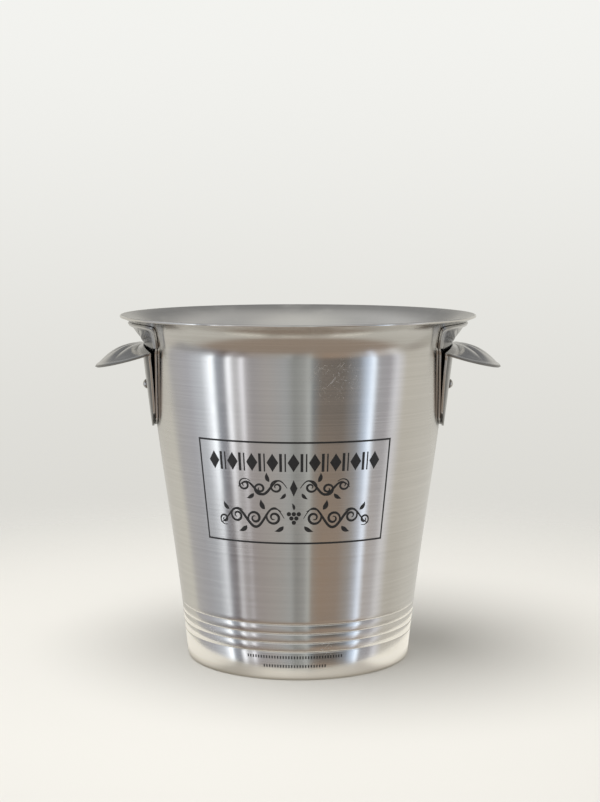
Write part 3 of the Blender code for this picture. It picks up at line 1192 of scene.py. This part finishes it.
@dataclass
class Grip(PressedPlate):
    """The outer plate: a fluted half-shell wing to lift by, with a rolled rim, over a tapered tongue."""

    flute_step: float = math.radians(30)
    reach: float = 0.0297
    wing_half_width: float = 0.0410
    side_drop: float = 0.0035
    tip_drop: float = 0.0106
    crown: float = 2.2
    tongue_length: float = 0.0497
    foot_half_width: float = 0.0232
    foot_corner: float = 0.0120
    stand_off: float = 0.0028
    open_length: float = 0.0467
    strip_shade_and_grime: float = 1.9
    rolled_edge_shade: float = 0.75
    flute_end: float = 0.93
    rim_rise: float = 0.00045
    roll_start: float = 0.968
    roll_depth: float = 0.0005
    fade_angle: float = math.radians(9)
    rim_fade: float = 0.03
    tongue_step: float = 0.0014
    step_length: float = 0.0040

    def opening(self, station: float) -> float:
        """How open the grip stands at a height: 1 at the hinge, 0 where its edges meet the back plate."""
        return max(0.0, 1 - (self.hinge - station) / self.open_length)

    def seat(self, station: float, y: float) -> Vector:
        """Point on the grip's wall side: seated at the middle, standing off towards its edges.

        Args:
            station: Height on the wall that the point stands off from.
            y: Place across the grip.

        Returns:
            The point.
        """
        radius, z = self.wall.offset(station, 2 * self.gap + self.sheet)
        clear = self.stand_off * self.opening(station) * (y / self.wing_half_width) ** 2
        return Vector((math.sqrt(radius * radius - y * y) + clear, y, z))

    def shell_point(self, angle: float, share: float) -> Vector:
        """Point of the wing, a half shell that bows out and droops from the hinge line.

        Args:
            angle: Angle from the shell's own axis, in radians.
            share: Share of the radius, from the hinge's middle out.

        Returns:
            The point on the sheet's wall side.
        """
        near_leg = smooth(0.0, self.fade_angle, math.pi / 2 - abs(angle))
        roll = max(0.0, (share - self.roll_start) / (1 - self.roll_start)) * math.pi / 2 * near_leg
        rim = self.rim_rise * smooth(self.flute_end, self.flute_end + self.rim_fade, share) * near_leg
        drop = self.roll_depth * (1 - math.cos(roll))
        y = self.wing_half_width * share * math.sin(angle)
        station = self.hinge - self.side_drop * (y / self.wing_half_width) ** 2
        base = self.seat(station, y)
        c = math.cos(angle)
        droop = (self.side_drop * c * c + self.tip_drop * c) * share ** self.crown
        lift = self.flute(angle, share) + rim - drop
        return base + Vector((self.reach * share * c, 0.0, lift - droop))

    def strip_point(self, side: float, share: float) -> Vector:
        """Point of the tongue that lies on the back plate.

        Args:
            side: Share of the half width, from -1 to 1.
            share: Share of the length, from the hinge down.

        Returns:
            The point on the sheet's wall side.
        """
        top = self.hinge - self.side_drop * side * side
        lift = self.foot_lift(side, self.foot_half_width, self.foot_corner)
        station = top - (top - self.foot - lift) * share
        half = self.strip_half_width(station, top, self.foot, self.wing_half_width, self.foot_half_width)
        half -= self.tongue_step * smooth(0.0, self.step_length, top - station)
        return self.seat(station, side * half)


@dataclass
class Rivet:
    """A domed rivet through the wall and both plates of a handle."""

    EDGE = "edge"

    wall: WallShape
    drop: float = 0.0252
    shank_radius: float = 0.0016
    head_radius: float = 0.0030
    head_height: float = 0.0025
    tail_radius: float = 0.0027
    tail_height: float = 0.0010
    hole_gap: float = 0.0003
    plates: float = 0.0024
    gap: float = 0.0003
    steps: int = 14
    segments: int = 48
    # Share of the head's radius where the painted shade and dirt begin.
    shade_and_grime_from: float = 0.7

    @property
    def height(self) -> float:
        """Height of the rivet on the wall."""
        return self.wall.neck_height + PressedPlate.hinge_over_neck - self.drop

    def place(self, proud: float) -> Matrix:
        """Where the rivet's axis crosses a distance off the wall, with Z along the rivet.

        Args:
            proud: Distance square off the wall.

        Returns:
            The place and turn there.
        """
        lean = self.wall.outside(self.height)[1]
        radius, z = self.wall.offset(self.height, proud)
        return Matrix.Translation((radius, 0, z)) @ Matrix.Rotation(math.pi / 2 + lean, 4, "Y")

    def hole(self) -> tuple[float, Matrix]:
        """Radius and place of the hole the rivet passes through."""
        return self.shank_radius + self.hole_gap, self.place(0.0)

    def dome(self, radius: float, height: float, base: float, sign: int) -> list[Point]:
        """Points of a domed end from its crown to its rounded edge.

        Args:
            radius: Radius of the end.
            height: Height of its crown.
            base: Level it rises from.
            sign: 1 for an end that rises and -1 for one that points down.

        Returns:
            The points, as radius and height.
        """
        sphere = (radius * radius + height * height) / (2 * height)
        edge = math.asin(min(1.0, radius / sphere))
        angles = [edge * share for share in shares(self.steps)]
        return [(sphere * math.sin(a), base + sign * (height - sphere * (1 - math.cos(a)))) for a in angles]

    def profile(self) -> list[Point]:
        """Section of the rivet, whose head seats at height 0.

        Returns:
            The section's points, from crown to crown.
        """
        grip = self.wall.thickness + self.plates + 4 * self.gap
        head = self.dome(self.head_radius, self.head_height, 0.0, 1)
        tail = self.dome(self.tail_radius, self.tail_height, -grip, -1)
        return head + [(self.shank_radius, 0.0), (self.shank_radius, -grip)] + tail[::-1]

    def build(self, name: str) -> bpy.types.Object:
        """Turn the rivet and seat it on the +X side.

        Args:
            name: Name of the piece.

        Returns:
            The finished rivet, with its painted shade and dirt noted round the head's edge.
        """
        piece = Workshop.turn(name, self.profile(), self.segments)
        edge = piece.data.attributes.new(self.EDGE, "FLOAT", "POINT")
        for i, vertex in enumerate(piece.data.vertices):
            out = math.hypot(vertex.co.x, vertex.co.y) / self.head_radius
            edge.data[i].value = smooth(self.shade_and_grime_from, 1.0, out)
        piece.matrix_world = self.place(3 * self.gap + self.plates)
        Workshop.settle(piece)
        Workshop.soften(piece)
        return piece


@dataclass
class HandlePair:
    """The two riveted handles, each a back plate, a grip and a rivet."""

    wall: WallShape

    def build(self, rivet: Rivet) -> list[tuple[bpy.types.Object, Slot, str]]:
        """Build each piece once and copy it to the other side.

        Args:
            rivet: The rivet that joins the plates to the wall.

        Returns:
            Each piece with its slot and the CAD node that it stands for.
        """
        hole = rivet.hole()
        firsts = [
            (BackPlate(self.wall).build("back_plate_first", hole), Slot.BACK_PLATE, "handle_back_plate"),
            (Grip(self.wall).build("grip_first", hole), Slot.GRIP, "handle_grip"),
            (rivet.build("rivet_first"), Slot.RIVET, "rivet"),
        ]
        finishes = {
            Slot.BACK_PLATE: PressedAluminium("pressed_back_plate").make(),
            Slot.GRIP: PressedAluminium("pressed_grip", clean=(0.66, 0.66, 0.66)).make(),
            Slot.RIVET: RivetMetal().make(),
        }
        made = []
        for first, slot, node in firsts:
            Workshop.paint(first, finishes[slot])
            for side in Side:
                piece = Workshop.copy_turned(first, f"{slot.value}_{side.label}", side.value)
                made.append((piece, slot, f"{node}_{side.label}"))
            bpy.data.objects.remove(first, do_unlink=True)
        return made


# ---------------------------------------------------------------- print


@dataclass
class Stroke:
    """One pen stroke on the flat pattern, in millimetres: a centreline and its widths."""

    points: list[Point]
    widths: list[float]

    def mirrored(self) -> "Stroke":
        """The same stroke on the other side of the pattern's middle."""
        return Stroke([(-u, v) for u, v in self.points], self.widths)


@dataclass(frozen=True)
class Pen:
    """Draws the strokes that the ornament is made of."""

    fine: float = 0.35
    bold: float = 1.15

    THINNEST = 0.12
    SCROLL_CLOSE = 0.82
    SCROLL_HASTE = 0.8
    WAVE_FADE = 0.35
    LEAF_BEND = 0.5
    BAR_STEP = 1.5

    def swelled(self, points: list[Point], bold: float | None = None) -> Stroke:
        """A stroke that is fine at its ends and bold in its middle."""
        swell = (self.bold if bold is None else bold) - self.fine
        return Stroke(points, [self.fine + swell * math.sin(math.pi * t) for t in shares(len(points) - 1)])

    def scroll(self, centre: Point, radius: float, start: float, turns: float, bold: float) -> Stroke:
        """A spiral that winds in from its radius.

        Args:
            centre: Middle of the spiral.
            radius: Radius where it starts.
            start: Angle where it starts, in degrees.
            turns: Turns it makes; negative is clockwise.
            bold: Width of its boldest place.

        Returns:
            The stroke.
        """
        points = []
        for t in shares(44):
            angle = math.radians(start) + 2 * math.pi * turns * t
            r = radius * (1 - self.SCROLL_CLOSE * t ** self.SCROLL_HASTE)
            points.append((centre[0] + r * math.cos(angle), centre[1] + r * math.sin(angle)))
        return self.swelled(points, bold)

    def wave(self, start: Point, length: float, height: float, waves: float, bold: float) -> Stroke:
        """A stem that swings above and below its line as it runs outwards.

        Args:
            start: Where the stem starts.
            length: How far out it runs.
            height: How far it swings at first.
            waves: How often it swings.
            bold: Width of its boldest place.

        Returns:
            The stroke.
        """
        points = []
        for t in shares(60):
            swing = height * (1 - self.WAVE_FADE * t) * math.sin(2 * math.pi * waves * t)
            points.append((start[0] + length * t, start[1] + swing))
        return self.swelled(points, bold)

    @classmethod
    def leaf(cls, root: Point, angle: float, length: float, width: float) -> Stroke:
        """A leaf with a curved back.

        Args:
            root: Where the leaf springs.
            angle: Its direction, in degrees.
            length: Its length.
            width: Its width.

        Returns:
            The stroke.
        """
        points, widths = [], []
        for t in shares(14):
            bend = math.radians(angle) + cls.LEAF_BEND * (t - 0.5)
            points.append((root[0] + length * t * math.cos(bend), root[1] + length * t * math.sin(bend)))
            widths.append(max(cls.THINNEST, width * math.sin(math.pi * t ** 0.8)))
        return Stroke(points, widths)

    @classmethod
    def upright(cls, centre: Point, height: float, rows: Sequence[float], widths: Sequence[float]) -> Stroke:
        """A solid figure drawn from its foot to its top, none of it thinner than the pen allows."""
        points = [(centre[0], centre[1] + height / 2 * row) for row in rows]
        return Stroke(points, [max(cls.THINNEST, width) for width in widths])

    @classmethod
    def lozenge(cls, centre: Point, width: float, height: float) -> Stroke:
        """A solid lozenge standing on its point."""
        rows = [2 * t - 1 for t in shares(12)]
        return cls.upright(centre, height, rows, [width * (1 - abs(row)) for row in rows])

    @classmethod
    def dot(cls, centre: Point, size: float) -> Stroke:
        """A round dot."""
        rows = [-math.cos(math.pi * t) for t in shares(10)]
        return cls.upright(centre, size, rows, [size * math.sqrt(max(0.0, 1 - row * row)) for row in rows])

    @classmethod
    def bar(cls, first: Point, last: Point, width: float) -> Stroke:
        """A straight bar of even width.

        Args:
            first: One end.
            last: The other end.
            width: Its width.

        Returns:
            The stroke.
        """
        (u, v), (far_u, far_v) = first, last
        steps = shares(max(2, math.ceil(math.dist(first, last) / cls.BAR_STEP)))
        return Stroke([(u + (far_u - u) * t, v + (far_v - v) * t) for t in steps], [width] * len(steps))


@dataclass
class PrintedPanel:
    """Black print on the front: a ruled frame round three rows of ornament, over two rows of ticks."""

    wall: WallShape
    middle: float = math.radians(-1.7)
    half_angle: float = math.radians(39.4)
    bottom: float = 0.0828
    top: float = 0.1415
    line: float = 1.05
    scale_radius: float = 80.0
    film: float = 0.00005
    film_seat: float = 0.4
    flatness: float = 4.0
    lozenge_pitch: float = 11.4
    lozenge_size: tuple[float, float] = (6.4, 10.4)
    lozenges_each_side: int = 4
    pair_bars: tuple[tuple[float, float], ...] = ((-1.25, 1.5), (1.25, 0.8))
    row_heights: tuple[float, float, float] = (0.1299, 0.1152, 0.0975)
    grape: float = 2.5
    grape_rows: tuple[tuple[float, ...], ...] = ((-2.8, 0.0, 2.8), (-1.4, 1.4), (0.0,))
    bunch_top: float = 2.6
    tick: float = 1.7
    tick_width: float = 0.9
    tick_pitch: float = 1.6
    rule_heights: tuple[float, float] = (0.0140, 0.0086)
    rule_half_angles: tuple[float, float] = (math.radians(22.5), math.radians(14.5))
    pen: Pen = Pen()

    def wrap(
        self, name: str, strokes: Sequence[Stroke], level: float, finish: bpy.types.Material
    ) -> bpy.types.Object:
        """Draw strokes as flattened ribbons and lay them round the wall.

        Args:
            name: Name of the piece.
            strokes: Strokes about a middle, in millimetres.
            level: Height of the pattern's middle.
            finish: The ink.

        Returns:
            The printed piece.
        """
        Workshop.clear()
        curve = bpy.data.curves.new(name, "CURVE")
        curve.dimensions = "3D"
        curve.bevel_depth = 1.0
        curve.bevel_resolution = 1
        curve.use_fill_caps = True
        for stroke in strokes:
            spline = curve.splines.new("POLY")
            spline.points.add(len(stroke.points) - 1)
            for point, (u, v), width in zip(spline.points, stroke.points, stroke.widths):
                point.co = (u, v, 0.0, 1.0)
                point.radius = width / 2
        piece = bpy.data.objects.new(name, curve)
        bpy.context.scene.collection.objects.link(piece)
        Workshop.take(piece)
        bpy.ops.object.convert(target="MESH")
        piece = bpy.context.object
        for vertex in piece.data.vertices:
            u, v, w = vertex.co
            proud = self.film * (self.film_seat + max(-1.0, min(1.0, self.flatness * w)))
            vertex.co = self.wall.front(self.middle + u / self.scale_radius, level + v * MM, proud)
        bpy.ops.object.mode_set(mode="EDIT")
        Workshop.close_up()
        Workshop.soften(piece, 60)
        Workshop.paint(piece, finish)
        return piece

    def frame_lines(self) -> list[Stroke]:
        """The ruled rectangle.

        Returns:
            Four bars that overlap at their corners.
        """
        half_u = self.half_angle * self.scale_radius
        half_v = (self.top - self.bottom) / 2 / MM
        end = half_u + self.line / 2
        rules = [Pen.bar((-end, v), (end, v), self.line) for v in (half_v, -half_v)]
        return rules + [Pen.bar((u, -half_v), (u, half_v), self.line) for u in (-half_u, half_u)]

    def lozenge_row(self) -> list[Stroke]:
        """Top row: solid lozenges between pairs of bars.

        Returns:
            The row's strokes.
        """
        count, pitch, (width, height) = self.lozenges_each_side, self.lozenge_pitch, self.lozenge_size
        strokes = [Pen.lozenge((k * pitch, 0.0), width, height) for k in range(-count, count + 1)]
        for k in range(-count, count):
            for shift, bold in self.pair_bars:
                u = (k + 0.5) * pitch + shift
                strokes.append(Pen.bar((u, -height / 2), (u, height / 2), bold))
        return strokes

    def both_sides(self, strokes: Sequence[Stroke]) -> list[Stroke]:
        """Strokes with their mirror images."""
        return [copy for stroke in strokes for copy in (stroke, stroke.mirrored())]

    def small_flourish(self) -> list[Stroke]:
        """Middle row: a lozenge with a waving stem, scrolls and leaves on either side.

        Returns:
            The row's strokes.
        """
        pen = self.pen
        half = [
            pen.wave((3.6, 0.0), 28.0, 4.6, 1.5, 1.5),
            pen.scroll((9.4, 0.6), 4.3, 130, -1.5, 1.3),
            pen.scroll((18.8, -0.6), 4.1, -130, 1.5, 1.3),
            pen.scroll((27.8, 1.4), 4.1, 150, -1.6, 1.2),
            pen.leaf((13.4, 3.6), 62, 5.4, 2.3),
            pen.leaf((22.6, -3.4), -50, 5.2, 2.2),
            pen.leaf((4.6, -3.0), -60, 4.6, 1.9),
        ]
        return self.both_sides(half) + [Pen.lozenge((0.0, 0.0), 4.2, 9.6)]

    def large_flourish(self) -> list[Stroke]:
        """Bottom row: a long vine with scrolls, leaves and a small bunch of grapes in its middle.

        Returns:
            The row's strokes.
        """
        pen = self.pen
        half = [
            pen.wave((5.5, 0.0), 39.5, 6.4, 1.75, 1.6),
            pen.scroll((11.4, 0.4), 5.6, 140, -1.7, 1.5),
            pen.scroll((22.6, -0.2), 5.3, -140, 1.7, 1.5),
            pen.scroll((33.4, 0.8), 5.0, 140, -1.6, 1.4),
            pen.scroll((42.0, -2.0), 3.6, -120, 1.5, 1.2),
            pen.leaf((16.4, 5.2), 55, 6.0, 2.7),
            pen.leaf((27.8, -5.0), -48, 6.0, 2.6),
            pen.leaf((38.4, 4.0), 40, 5.4, 2.3),
            pen.leaf((6.0, -4.6), -45, 6.0, 2.4),
        ]
        grapes = [
            Pen.dot((u, self.bunch_top - self.grape * row), self.grape)
            for row, places in enumerate(self.grape_rows)
            for u in places
        ]
        return self.both_sides(half) + grapes + [Pen.leaf((0.0, 5.0), 90, 4.0, 1.6)]

    def tick_row(self, half_angle: float) -> list[Stroke]:
        """A plain row of short upright ticks.

        Args:
            half_angle: Angle from the row's middle to its end, in radians.

        Returns:
            The ticks.
        """
        radius = self.wall.base_radius / MM
        count = round(half_angle * radius / self.tick_pitch)
        places = [self.tick_pitch * k * self.scale_radius / radius for k in range(-count, count + 1)]
        return [Pen.bar((u, -self.tick / 2), (u, self.tick / 2), self.tick_width) for u in places]

    def build(self) -> list[bpy.types.Object]:
        """Print the frame, its three rows and the two rows of ticks at the foot.

        Returns:
            The printed pieces.
        """
        ink = PrintedInk().make()
        upper, middle, lower = self.row_heights
        made = [
            self.wrap("printed_frame", self.frame_lines(), (self.top + self.bottom) / 2, ink),
            self.wrap("printed_lozenges", self.lozenge_row(), upper, ink),
            self.wrap("printed_small_flourish", self.small_flourish(), middle, ink),
            self.wrap("printed_large_flourish", self.large_flourish(), lower, ink),
        ]
        for word, height, half in zip(("upper", "lower"), self.rule_heights, self.rule_half_angles):
            made.append(self.wrap(f"printed_rule_{word}", self.tick_row(half), height, ink))
        return made


# ---------------------------------------------------------------- studio


@dataclass
class Studio:
    """Camera, pale floor and soft surroundings.

    Each card of a ring is its place, in degrees from the front towards +X, and its red,
    green and blue light. The stand's glow is painted light, which only the metal's mirror
    image shows: a row of cards along X, placed in metres.
    """

    camera_place: tuple[float, float, float] = (0.0, -0.987, 0.267)
    camera_dip: float = math.radians(6.45)
    camera_pan: float = math.radians(-0.07)
    lens: float = 73.1
    sensor: float = 36.0
    floor_radius: float = 3.0
    floor_colour: Colour = (0.86, 0.84, 0.79)
    stand_radius: float = 0.115
    stand_middle: float = 0.033
    stand_drop: float = 0.0002
    stand_colour: Colour = (0.86, 0.85, 0.80)
    # Inner and outer radius of the painted shadow round the bucket's foot.
    contact_shadow_band: tuple[float, float] = (0.064, 0.076)
    floor_fade: tuple[float, float] = (0.20, 0.62)
    tone_step: float = 0.97
    disc_corners: int = 96
    # Bands of a ray's rise, from -1 for down to 1 for up, where one light gives way to the next.
    ground_band: tuple[float, float] = (-0.64, -0.54)
    lower_band: tuple[float, float] = (-0.44, -0.35)
    ceiling_band: tuple[float, float] = (0.22, 0.45)
    backdrop_band: tuple[float, float] = (-0.22, 0.16)
    backdrop_foot: Colour = (0.71, 0.70, 0.66)
    backdrop_top: Colour = (0.90, 0.90, 0.87)
    overhead_place: tuple[float, float, float] = (-0.3, -0.2, 2.0)
    overhead_size: float = 1.6
    overhead_power: float = 33.0

    ceiling: tuple[Card, ...] = (
        (-180, 0.19, 0.19, 0.19), (-150, 0.22, 0.22, 0.22), (-105, 0.66, 0.66, 0.65),
        (-70, 0.36, 0.36, 0.36), (-30, 0.66, 0.66, 0.63), (30, 0.66, 0.65, 0.62), (70, 0.34, 0.34, 0.34),
        (105, 0.62, 0.61, 0.59), (150, 0.21, 0.21, 0.21), (180, 0.19, 0.19, 0.19),
    )
    upper: tuple[Card, ...] = (
        (-180, 0.62, 0.61, 0.57), (-150, 0.56, 0.54, 0.49), (-122, 0.60, 0.58, 0.52),
        (-114, 0.43, 0.42, 0.42), (-94, 0.44, 0.44, 0.47), (-80, 0.60, 0.63, 0.68), (-74, 1.05, 1.10, 1.18),
        (-70, 1.75, 1.85, 1.95), (-66, 0.34, 0.37, 0.42), (-59, 0.30, 0.31, 0.34), (-55, 1.50, 1.54, 1.62),
        (-51, 0.58, 0.58, 0.60), (-47, 0.58, 0.58, 0.60), (-44, 1.25, 1.25, 1.32), (-41, 0.50, 0.49, 0.51),
        (-36, 0.35, 0.34, 0.35), (-24, 0.40, 0.38, 0.37), (-10, 0.38, 0.39, 0.40), (-3, 0.28, 0.29, 0.28),
        (5, 0.36, 0.37, 0.36), (9, 0.52, 0.54, 0.53), (11, 0.20, 0.23, 0.25), (18, 0.15, 0.14, 0.13),
        (36, 0.14, 0.13, 0.12), (48, 0.25, 0.27, 0.30), (56, 0.70, 0.82, 1.00), (60, 1.25, 1.40, 1.58),
        (64, 0.38, 0.38, 0.40), (75, 0.38, 0.37, 0.39), (82, 0.74, 0.74, 0.78), (92, 0.56, 0.53, 0.47),
        (180, 0.62, 0.61, 0.57),
    )
    lower: tuple[Card, ...] = (
        (-180, 0.62, 0.61, 0.57), (-150, 0.58, 0.56, 0.51), (-121, 0.54, 0.51, 0.46),
        (-112, 0.36, 0.35, 0.34), (-84, 0.28, 0.28, 0.29), (-76, 0.26, 0.25, 0.26), (-69, 0.26, 0.24, 0.25),
        (-62, 0.12, 0.09, 0.08), (-54, 0.36, 0.33, 0.33), (-46, 0.22, 0.19, 0.18), (-38, 0.35, 0.31, 0.29),
        (-14, 0.38, 0.37, 0.35), (-7, 0.40, 0.41, 0.40), (-2, 0.25, 0.25, 0.24), (6, 0.33, 0.33, 0.32),
        (10, 0.48, 0.49, 0.46), (13, 0.35, 0.28, 0.22), (22, 0.36, 0.265, 0.195), (38, 0.36, 0.28, 0.22),
        (48, 0.38, 0.34, 0.30), (56, 0.44, 0.42, 0.42), (61, 0.85, 0.90, 1.02), (66, 0.50, 0.44, 0.39),
        (76, 0.56, 0.53, 0.51), (82, 0.72, 0.70, 0.68), (94, 0.44, 0.41, 0.36), (106, 0.38, 0.35, 0.31),
        (130, 0.44, 0.42, 0.37), (180, 0.62, 0.61, 0.57),
    )
    ground: tuple[Card, ...] = (
        (-180, 0.60, 0.58, 0.53), (-104, 0.50, 0.48, 0.43), (-84, 0.30, 0.24, 0.19), (84, 0.30, 0.24, 0.19),
        (104, 0.50, 0.48, 0.43), (180, 0.60, 0.58, 0.53),
    )

    # Painted light of the stand top, seen only in the metal's mirror image.
    stand_glow: tuple[Card, ...] = (
        (-0.105, 0.62, 0.61, 0.57), (-0.070, 0.56, 0.55, 0.51), (-0.058, 0.42, 0.41, 0.38),
        (-0.049, 0.15, 0.15, 0.14), (-0.038, 0.18, 0.17, 0.16), (-0.022, 0.42, 0.41, 0.38),
        (-0.008, 0.43, 0.42, 0.39), (0.010, 0.35, 0.34, 0.32), (0.030, 0.31, 0.30, 0.28),
        (0.045, 0.24, 0.23, 0.22), (0.052, 0.28, 0.27, 0.26), (0.062, 0.62, 0.61, 0.57),
        (0.105, 0.66, 0.65, 0.60),
    )

    def camera(self) -> None:
        """Set up the camera."""
        data = bpy.data.cameras.new("camera")
        data.lens, data.sensor_width = self.lens, self.sensor
        camera = bpy.data.objects.new("camera", data)
        camera.location = self.camera_place
        camera.rotation_euler = (math.pi / 2 - self.camera_dip, 0.0, self.camera_pan)
        bpy.context.scene.collection.objects.link(camera)
        bpy.context.scene.camera = camera

    @staticmethod
    def ramp(bench: FinishBench, cards: Sequence[Card], span: float, place: Value) -> bpy.types.NodeSocket:
        """Light of a row of cards at a place.

        Args:
            bench: The node tree to add to.
            cards: The cards, in rising order of place.
            span: The row's full length, from minus to plus one half of it.
            place: Where to look, as a share of the span from its middle.

        Returns:
            The light's colour.
        """
        stops = [(at / span + 0.5, light) for at, *light in cards]
        return bench.add("ShaderNodeValToRGB", {"stops": stops}, {0: place + 0.5}).outputs[0]

    def disc(
        self, name: str, radius: float, place: Sequence[float], finish: bpy.types.Material
    ) -> bpy.types.Object:
        """Lay a flat disc.

        Args:
            name: Name of the disc.
            radius: Its radius.
            place: Its middle.
            finish: Its material.

        Returns:
            The disc.
        """
        Workshop.clear()
        settings = {"vertices": self.disc_corners, "radius": radius, "fill_type": "NGON", "location": place}
        bpy.ops.mesh.primitive_circle_add(**settings)
        made = bpy.context.object
        made.name = name
        made.data.materials.append(finish)
        return made

    def floor(self) -> bpy.types.Object:
        """Lay the pale floor, which fades into the backdrop.

        Returns:
            The floor, which the metal doesn't mirror.
        """
        material = bpy.data.materials.new("pale_floor")
        bench = FinishBench(material)
        x, y, _ = bench.axes(bench.place())
        reach = (x * x + y * y) ** 0.5
        tone = bench.noise(bench.stretched((3, 3, 3)), 2.0)
        colour = bench.blend(tone, self.floor_colour, tuple(self.tone_step * c for c in self.floor_colour))
        paint = bench.add("ShaderNodeBsdfPrincipled", {}, {"Base Color": colour, "Roughness": 0.55})
        clear = bench.add("ShaderNodeBsdfTransparent", {}, {})
        inputs = {0: reach.step(*self.floor_fade), 1: paint.outputs[0], 2: clear.outputs[0]}
        mixed = bench.add("ShaderNodeMixShader", {}, inputs)
        bench.add("ShaderNodeOutputMaterial", {}, {"Surface": mixed.outputs[0]})
        floor = self.disc("floor", self.floor_radius, (0, 0, 0), material)
        floor.visible_glossy = False
        return floor

    def stand(self) -> bpy.types.Object:
        """Lay the white stand top that only the metal's mirror image shows. It glows with painted light, and
        has a painted shadow where the bucket's foot meets it.

        Returns:
            The stand top, hidden from the camera.
        """
        white = bpy.data.materials.new("white_stand_top")
        bench = FinishBench(white)
        x, y, _ = bench.axes(bench.place())
        width = 2 * self.stand_radius
        # Painted light: the stand top glows as the lit stand would shine in the metal.
        glow = self.ramp(bench, self.stand_glow, width, x / width)
        # Painted shadow: no glow in a ring round the bucket's foot.
        contact_shadow = ((x * x + (y + self.stand_middle) ** 2) ** 0.5).step(*self.contact_shadow_band)
        bench.close(
            {
                "Base Color": self.stand_colour,
                "Roughness": 0.5,
                "Emission Color": bench.blend(contact_shadow, (0.0, 0.0, 0.0), glow),
                "Emission Strength": 1.0,
            }
        )
        stand = self.disc("stand_top", self.stand_radius, (0, self.stand_middle, -self.stand_drop), white)
        stand.visible_camera = stand.visible_diffuse = stand.visible_shadow = False
        return stand

    def surroundings(self) -> None:
        """Hang two rings of cards, between a soft ceiling and a pale ground."""
        world = bpy.data.worlds.new("studio")
        bpy.context.scene.world = world
        bench = FinishBench(world)
        way = bench.add("ShaderNodeTexCoord", {}, {}).outputs["Generated"]
        x, y, z = bench.axes(way)
        turn = bench.number("ShaderNodeMath", {"operation": "ARCTAN2"}, {0: x, 1: 0 - y})
        ground, lower, upper, ceiling = (
            self.ramp(bench, cards, 360, turn / (2 * math.pi))
            for cards in (self.ground, self.lower, self.upper, self.ceiling)
        )
        walls = bench.blend(z.step(*self.lower_band), lower, upper)
        above = bench.blend(z.step(*self.ceiling_band), walls, ceiling)
        seen = bench.blend(z.step(*self.ground_band), ground, above)
        backdrop = bench.blend(z.step(*self.backdrop_band), self.backdrop_foot, self.backdrop_top)
        to_camera = Value(bench, bench.add("ShaderNodeLightPath", {}, {}).outputs["Is Camera Ray"])
        light = bench.add("ShaderNodeBackground", {}, {0: bench.blend(to_camera, seen, backdrop), 1: 1.0})
        bench.add("ShaderNodeOutputWorld", {}, {"Surface": light.outputs[0]})

    def overhead(self) -> None:
        """Hang one large soft light for the floor and the print."""
        data = bpy.data.lights.new("overhead", "AREA")
        data.shape, data.size, data.energy = "DISK", self.overhead_size, self.overhead_power
        light = bpy.data.objects.new("overhead", data)
        light.location = self.overhead_place
        light.rotation_euler = (Vector((0, 0, 0)) - light.location).to_track_quat("-Z", "Y").to_euler()
        light.visible_glossy = False
        bpy.context.scene.collection.objects.link(light)

    def build(self) -> None:
        """Build the whole studio."""
        bpy.context.scene.view_settings.view_transform = "Standard"
        self.camera()
        floor, stand = self.floor(), self.stand()
        self.surroundings()
        self.overhead()


# ---------------------------------------------------------------- assembly


def hand_over(piece: bpy.types.Object, slot: Slot, node: str | None = None) -> None:
    """Hang a finished piece on the root body and hide the CAD node that it stands for.

    Args:
        piece: The finished piece.
        slot: The record's slot for its finish, which is only logged here.
        node: The CAD node that it stands for, if any.
    """
    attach(piece, "root")
    if node:
        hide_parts(node)
    LOG.info("%s: %d faces, slot %s, stands for %s", piece.name, len(piece.data.polygons), slot.value, node)


def main() -> None:
    """Build the studio and every piece of the bucket."""
    logging.basicConfig(level=logging.INFO, format="%(name)s %(message)s")
    Studio().build()
    _, top_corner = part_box("bucket_body")
    wall = WallShape(height=top_corner.z, rim_radius=top_corner.x)
    rivet = Rivet(wall)
    radius, place = rivet.hole()
    body = BucketBody(wall)
    shell = body.build([(radius, Matrix.Rotation(side.value, 4, "Z") @ place) for side in Side])
    body.dress(shell)
    hand_over(shell, Slot.BODY, "bucket_body")
    for piece, slot, node in HandlePair(wall).build(rivet):
        hand_over(piece, slot, node)
    for piece in PrintedPanel(wall).build():
        hand_over(piece, Slot.INK)
    Workshop.clear()


if __name__ == "__main__":
    main()
